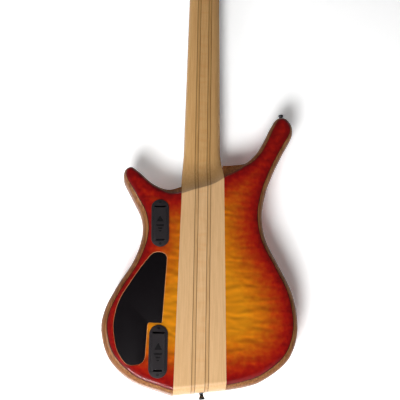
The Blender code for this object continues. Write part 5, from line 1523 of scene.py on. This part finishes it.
# %% [markdown]
# ## Bridge and saddles
# The bridge is a plate with a wall at its tail end, where the strings hook in, and two side rails.
# Five saddles stand between the rails, each held lengthwise by a screw through the wall and
# propped by two small screws that set its height. A saddle is its side view, carried across.

# %% Build the bridge and the saddles
BRIDGE_HALF = 43.8
BRIDGE_WALL_Z, BRIDGE_TOP_Z = -888.0, -847.0


def bridge_mesh():
    base = rounded_block((-BRIDGE_HALF, -3.3, BRIDGE_WALL_Z - 5), (BRIDGE_HALF, -0.3, BRIDGE_TOP_Z), 0.8)
    wall = rounded_block((-BRIDGE_HALF, -10.3, BRIDGE_WALL_Z - 5), (BRIDGE_HALF, -1.3, BRIDGE_WALL_Z), 1.0)
    rails = [rounded_block((side * 42.3 - 1.5, -7.3, BRIDGE_WALL_Z - 1), (side * 42.3 + 1.5, -1.3, BRIDGE_TOP_Z), 0.7)
             for side in (-1, 1)]
    notches = [slot_tool(string_x(number, -864 * MM), 4.5, radius, BRIDGE_WALL_Z - 20, BRIDGE_WALL_Z + 20)
               for number, radius in STRING_RADII.items()]
    return carved(carved(base, [wall, *rails], "UNION"), notches)


def saddle_mesh(number, radius):
    """The side view in (height above the body, place along the string), carried across 15 mm."""
    foot, crest = 3.6, 12.6 - radius - 0.3
    view = rounded_outline([(foot, 6, 0.5), (crest - 3, 6, 1.2), (crest, 1.5, 0.8), (crest, -1.5, 0.8),
                            (foot + 1.2, -13, 0.8), (foot, -13, 0.3)])
    block_shape = placed(prism(view, -7.2 * MM, 7.2 * MM), Matrix.Rotation(-math.pi / 2, 4, "Z"))
    holes = [placed(turned(((0, 40, 0), (1.5, 40, 0), (1.5, 2, 0), (0, 2, 0)), 20),
                    Matrix.Translation((side * 5.2 * MM, 0, -4.5 * MM)) @ FROM_FRONT) for side in (-1, 1)]
    return placed(carved(block_shape, holes), Matrix.Translation((string_x(number, -864 * MM), 0, -864 * MM)))


def height_screws_mesh(number, radius):
    """Two socket screws that stand a little out of the saddle's slope."""
    grub = carved(turned(((0, 11.2 - radius, 0), (1.4, 11.2 - radius, 0.2), (1.4, 3.7, 0.2), (0, 3.7, 0)), 20),
                  [turned(((0, 20, 0), (0.75, 20, 0), (0.75, 8, 0), (0, 8, 0)), 6)])
    x = string_x(number, -864 * MM)
    seats = [Matrix.Translation((x + side * 5.2 * MM, 0, -868.5 * MM)) @ FROM_FRONT for side in (-1, 1)]
    return joined(*[placed(grub.copy(), seat) for seat in seats])


def length_screw_mesh(number):
    """A threaded rod from the wall to the saddle's foot, with its head behind the wall."""
    rod = turned(((0, 10.9, 0), (0.95, 10.9, 0.1), (0.95, -5, 0), (1.5, -5, 0.1), (1.5, -6.2, 0.4), (0, -6.2, 0)), 20)
    return placed(rod, Matrix.Translation((string_x(number, -864 * MM) + 4.7 * MM, -4.35 * MM, BRIDGE_WALL_Z * MM)))


bridge_screws = [(x, -3.2, BRIDGE_TOP_Z + 4.2 - 8.4) for x in (-33, -16.5, 0, 16.5, 33)]
add_piece("bridge_cast", bridge_mesh(), black_metal, stands_for=("bridge_plate",))
add_piece("bridge_screws", screws_at(bridge_screws, 2.4, FROM_FRONT), black_metal)
for number, radius in STRING_RADII.items():
    add_piece(f"saddle_block_{number}", saddle_mesh(number, radius), black_metal, stands_for=(f"saddle_{number}",))
    add_piece(f"saddle_height_screws_{number}", height_screws_mesh(number, radius), steel)
    add_piece(f"saddle_length_screw_{number}", length_screw_mesh(number), steel)

# %% [markdown]
# ## Pickups and knobs
# A soap-bar pickup is a closed plastic shell with rounded corners, let into the body and held by
# two screws. A knob is turned from metal and knurled, so its radius goes in and out in small waves
# round the side. An inlaid line on top shows how far it is turned, and it rides on the knob's body.

# %% Build the pickups and the knobs
KNURLS = 40


def pickup_mesh(z):
    turn = np.linspace(0, math.pi / 2, 5)
    edge = [(13 * MM, 0.0), *zip(-4.4 * MM - 1.6 * MM * np.sin(turn), 1.6 * MM * (1 - np.cos(turn)))]
    shell = layers(rounded_outline(PICKUP_CORNERS), edge)
    sinks = [placed(turned(((0, 9, 0), (2.6, 9, 0), (2.6, 5.0, 0), (0, 5.0, 0)), 28),
                    Matrix.Translation((side * 41.5 * MM, 0, 0)) @ FROM_FRONT) for side in (-1, 1)]
    return placed(carved(shell, sinks), Matrix.Translation((0, 0, z)))


def knob_mesh():
    """The side's radius is 9.5 mm less a wave of the turning angle; the hollows take bush and shaft."""
    outline = rounded_outline([(0, 17.4, 0), (6.3, 17.4, 0.4), (6.7, 17.7, 0.3), (8.6, 16.2, 0.8), (9.4, 14.6, 0.4),
                               (9.5, 1.7, 0.4), (4.8, 1.7, 0), (4.8, 3.5, 0), (3.3, 3.5, 0), (3.3, 10.5, 0),
                               (0, 10.5, 0)], 4)
    radius, height = outline.T
    angle = np.linspace(0, 2 * math.pi, KNURLS * 6, endpoint=False)
    wave = 0.35 * MM * (0.5 - 0.5 * np.cos(KNURLS * angle)) * (radius[:, None] > 9.3 * MM)
    reach = radius[:, None] - wave
    return placed(skin(np.stack([reach * np.cos(angle), reach * np.sin(angle),
                                 np.broadcast_to(height[:, None], reach.shape)], axis=-1)), FROM_FRONT)


for name, z in PICKUPS.items():
    add_piece(name + "_shell", pickup_mesh(z), satin_plastic, stands_for=(name,))
    add_piece(name + "_screws", screws_at([(side * 41.5, -5.1, z / MM) for side in (-1, 1)], 2.2, FROM_FRONT),
              black_metal)
for name, (across, height) in KNOBS.items():
    seat = Matrix.Translation((across * MM, 0, height * MM))
    body = name.replace("knob_", "") + "_knob"
    add_piece(name + "_knurled", placed(knob_mesh(), seat), black_metal, body=body, stands_for=(name,))
    line = placed(rounded_block((-0.45, -17.55, 1.6), (0.45, -17.0, 5.6), 0.2), seat)
    add_piece(name + "_line", line, pearl, body=body)

# %% [markdown]
# ## The stage and the light
# The photograph has a white background with a soft shadow to the upper right. A sheet stands close
# behind the strings and sweeps down to a floor. From behind, the sheet is transparent, so that the
# front of the instrument can be seen too. Camera rays find it a little brighter than it is lit,
# which makes it white and leaves the shadow on it.

# %% Build the stage
WALL_Y = -0.032
FLOOR_Z = -1.9
SWEEP_RADIUS = 0.35


def sweep_sheet():
    """A profile in Y and Z, floor, quarter circle and wall, carried along X."""
    angle = np.linspace(0, math.pi / 2, 17)
    centre_y = WALL_Y + SWEEP_RADIUS
    centre_z = FLOOR_Z + SWEEP_RADIUS
    y = np.concatenate([[4.0], centre_y - SWEEP_RADIUS * np.sin(angle), [WALL_Y]])
    z = np.concatenate([[FLOOR_Z], centre_z - SWEEP_RADIUS * np.cos(angle), [1.2]])
    x = np.array([-2.5, 2.5])
    points = np.stack([np.repeat(x, len(y)), np.tile(y, 2), np.tile(z, 2)], axis=1)
    start = np.arange(len(y) - 1)
    faces = np.stack([start, start + 1, start + len(y) + 1, start + len(y)], axis=1)
    mesh = bpy.data.meshes.new("backdrop")
    mesh.from_pydata(points.tolist(), [], faces.tolist())
    mesh.shade_smooth()
    return mesh


def stage_finish():
    """Diffuse, paler for camera, glossy and transmission rays, and more so higher up, where less
    light falls on it; see-through from behind.

    Shadow rays pass too, so that the front lamp, which stands behind the wall, lights the body's front."""
    material = bpy.data.materials.new("backdrop_white")
    material.use_nodes = True
    tree = material.node_tree
    tree.nodes.clear()
    rays = add_node(tree, "LightPath").outputs
    seen = maths(tree, "MAXIMUM", maths(tree, "MAXIMUM", rays["Is Camera Ray"], rays["Is Glossy Ray"]),
                 rays["Is Transmission Ray"])
    height = add_node(tree, "SeparateXYZ", {0: add_node(tree, "TexCoord").outputs["Object"]}).outputs["Z"]
    paler = add_node(tree, "MapRange", {"Value": height, "From Min": -0.6, "From Max": -0.3,
                                        "To Min": 1.5, "To Max": 1.8}).outputs[0]
    pale = mix_colours(tree, seen, (0.7, 0.7, 0.7, 1), paler)
    diffuse = add_node(tree, "BsdfDiffuse", {"Color": pale})
    low = add_node(tree, "MapRange", {"Value": height, "From Min": -1.2, "From Max": FLOOR_Z,
                                      "To Min": 0.0, "To Max": 0.4}).outputs[0]
    glow = maths(tree, "ADD", maths(tree, "MULTIPLY", seen, 0.04), maths(tree, "MULTIPLY", rays["Is Camera Ray"], low))
    lift = add_node(tree, "Emission", {"Color": (1, 1, 1, 1), "Strength": glow})
    front = add_node(tree, "AddShader", {0: diffuse.outputs[0], 1: lift.outputs[0]})
    clear = add_node(tree, "BsdfTransparent")
    behind = add_node(tree, "NewGeometry").outputs["Backfacing"]
    passed = maths(tree, "MAXIMUM", behind, rays["Is Shadow Ray"])
    surface = add_node(tree, "MixShader", {0: passed, 1: front.outputs[0], 2: clear.outputs[0]})
    output = add_node(tree, "OutputMaterial")
    tree.links.new(surface.outputs[0], output.inputs["Surface"])
    return material


backdrop = bpy.data.objects.new("backdrop", sweep_sheet())
backdrop.data.materials.append(stage_finish())
bpy.context.scene.collection.objects.link(backdrop)

# %% Light the stage
WORLD_STRENGTH = 0.08
KEY_PLACE = Vector((0.42, 1.2, -1.85))
KEY_WATTS = 28.5
STRIPS = ((-24, 0.5), (-42, 0.5), (-60, 1.2), (-78, 1.2), (-96, 1.2))  # angle round the tail, Y


def soft_lamp(name, place, aim, size, watts):
    data = bpy.data.lights.new(name, "AREA")
    data.shape = "DISK"
    data.size = size
    data.energy = watts
    lamp = bpy.data.objects.new(name, data)
    lamp.visible_camera = False
    bpy.context.scene.collection.objects.link(lamp)
    lamp.matrix_world = Matrix.Translation(place) @ (place - aim).to_track_quat("Z", "Y").to_matrix().to_4x4()
    return lamp


world = bpy.data.worlds.new("studio")
bpy.context.scene.world = world
world.use_nodes = True
sky = world.node_tree
sky.nodes.clear()
sky_rays = add_node(sky, "LightPath").outputs
plain = add_node(sky, "Background", {"Color": (1, 1, 1, 1), "Strength": WORLD_STRENGTH})
white = add_node(sky, "Background", {"Color": (0.95, 0.95, 0.95, 1), "Strength": 1.0})
chosen = add_node(sky, "MixShader", {0: sky_rays["Is Camera Ray"], 1: plain.outputs[0], 2: white.outputs[0]})
sky.links.new(chosen.outputs[0], add_node(sky, "OutputWorld").inputs["Surface"])
body_centre = Vector((0, 0.04, -0.75))
soft_lamp("key_lamp", KEY_PLACE, body_centre, 0.7, KEY_WATTS).visible_glossy = False
soft_lamp("fill_lamp", Vector((1.8, 1.0, -0.3)), body_centre, 1.3, 8.5).visible_glossy = False
soft_lamp("front_lamp", Vector((-0.3, -2.3, 1.9)), body_centre, 1.2, 90.0).visible_glossy = False
soft_lamp("front_gloss", Vector((0.7, -2.2, -2.1)), body_centre, 0.9, 30.0).visible_diffuse = False
for degrees, y in STRIPS:
    angle = math.radians(degrees)
    strip = soft_lamp("gloss_strip", Vector((1.3 * math.cos(angle), y, -0.44 + 1.48 * math.sin(angle))),
                      body_centre, 0.5, 3.8)
    strip.data.shape, strip.data.size_y = "RECTANGLE", 0.08
    ahead = Vector((-1.3 * math.sin(angle), 0, 1.48 * math.cos(angle)))
    away = (strip.location - body_centre).normalized()
    ahead = (ahead - away * ahead.dot(away)).normalized()
    turn = Matrix((ahead, away.cross(ahead), away)).transposed().to_4x4()
    strip.matrix_world = Matrix.Translation(strip.location) @ turn
    strip.visible_diffuse = False  # the strips only draw the thin line of gloss along the rounded edge
bpy.context.scene.view_settings.view_transform = "Standard"
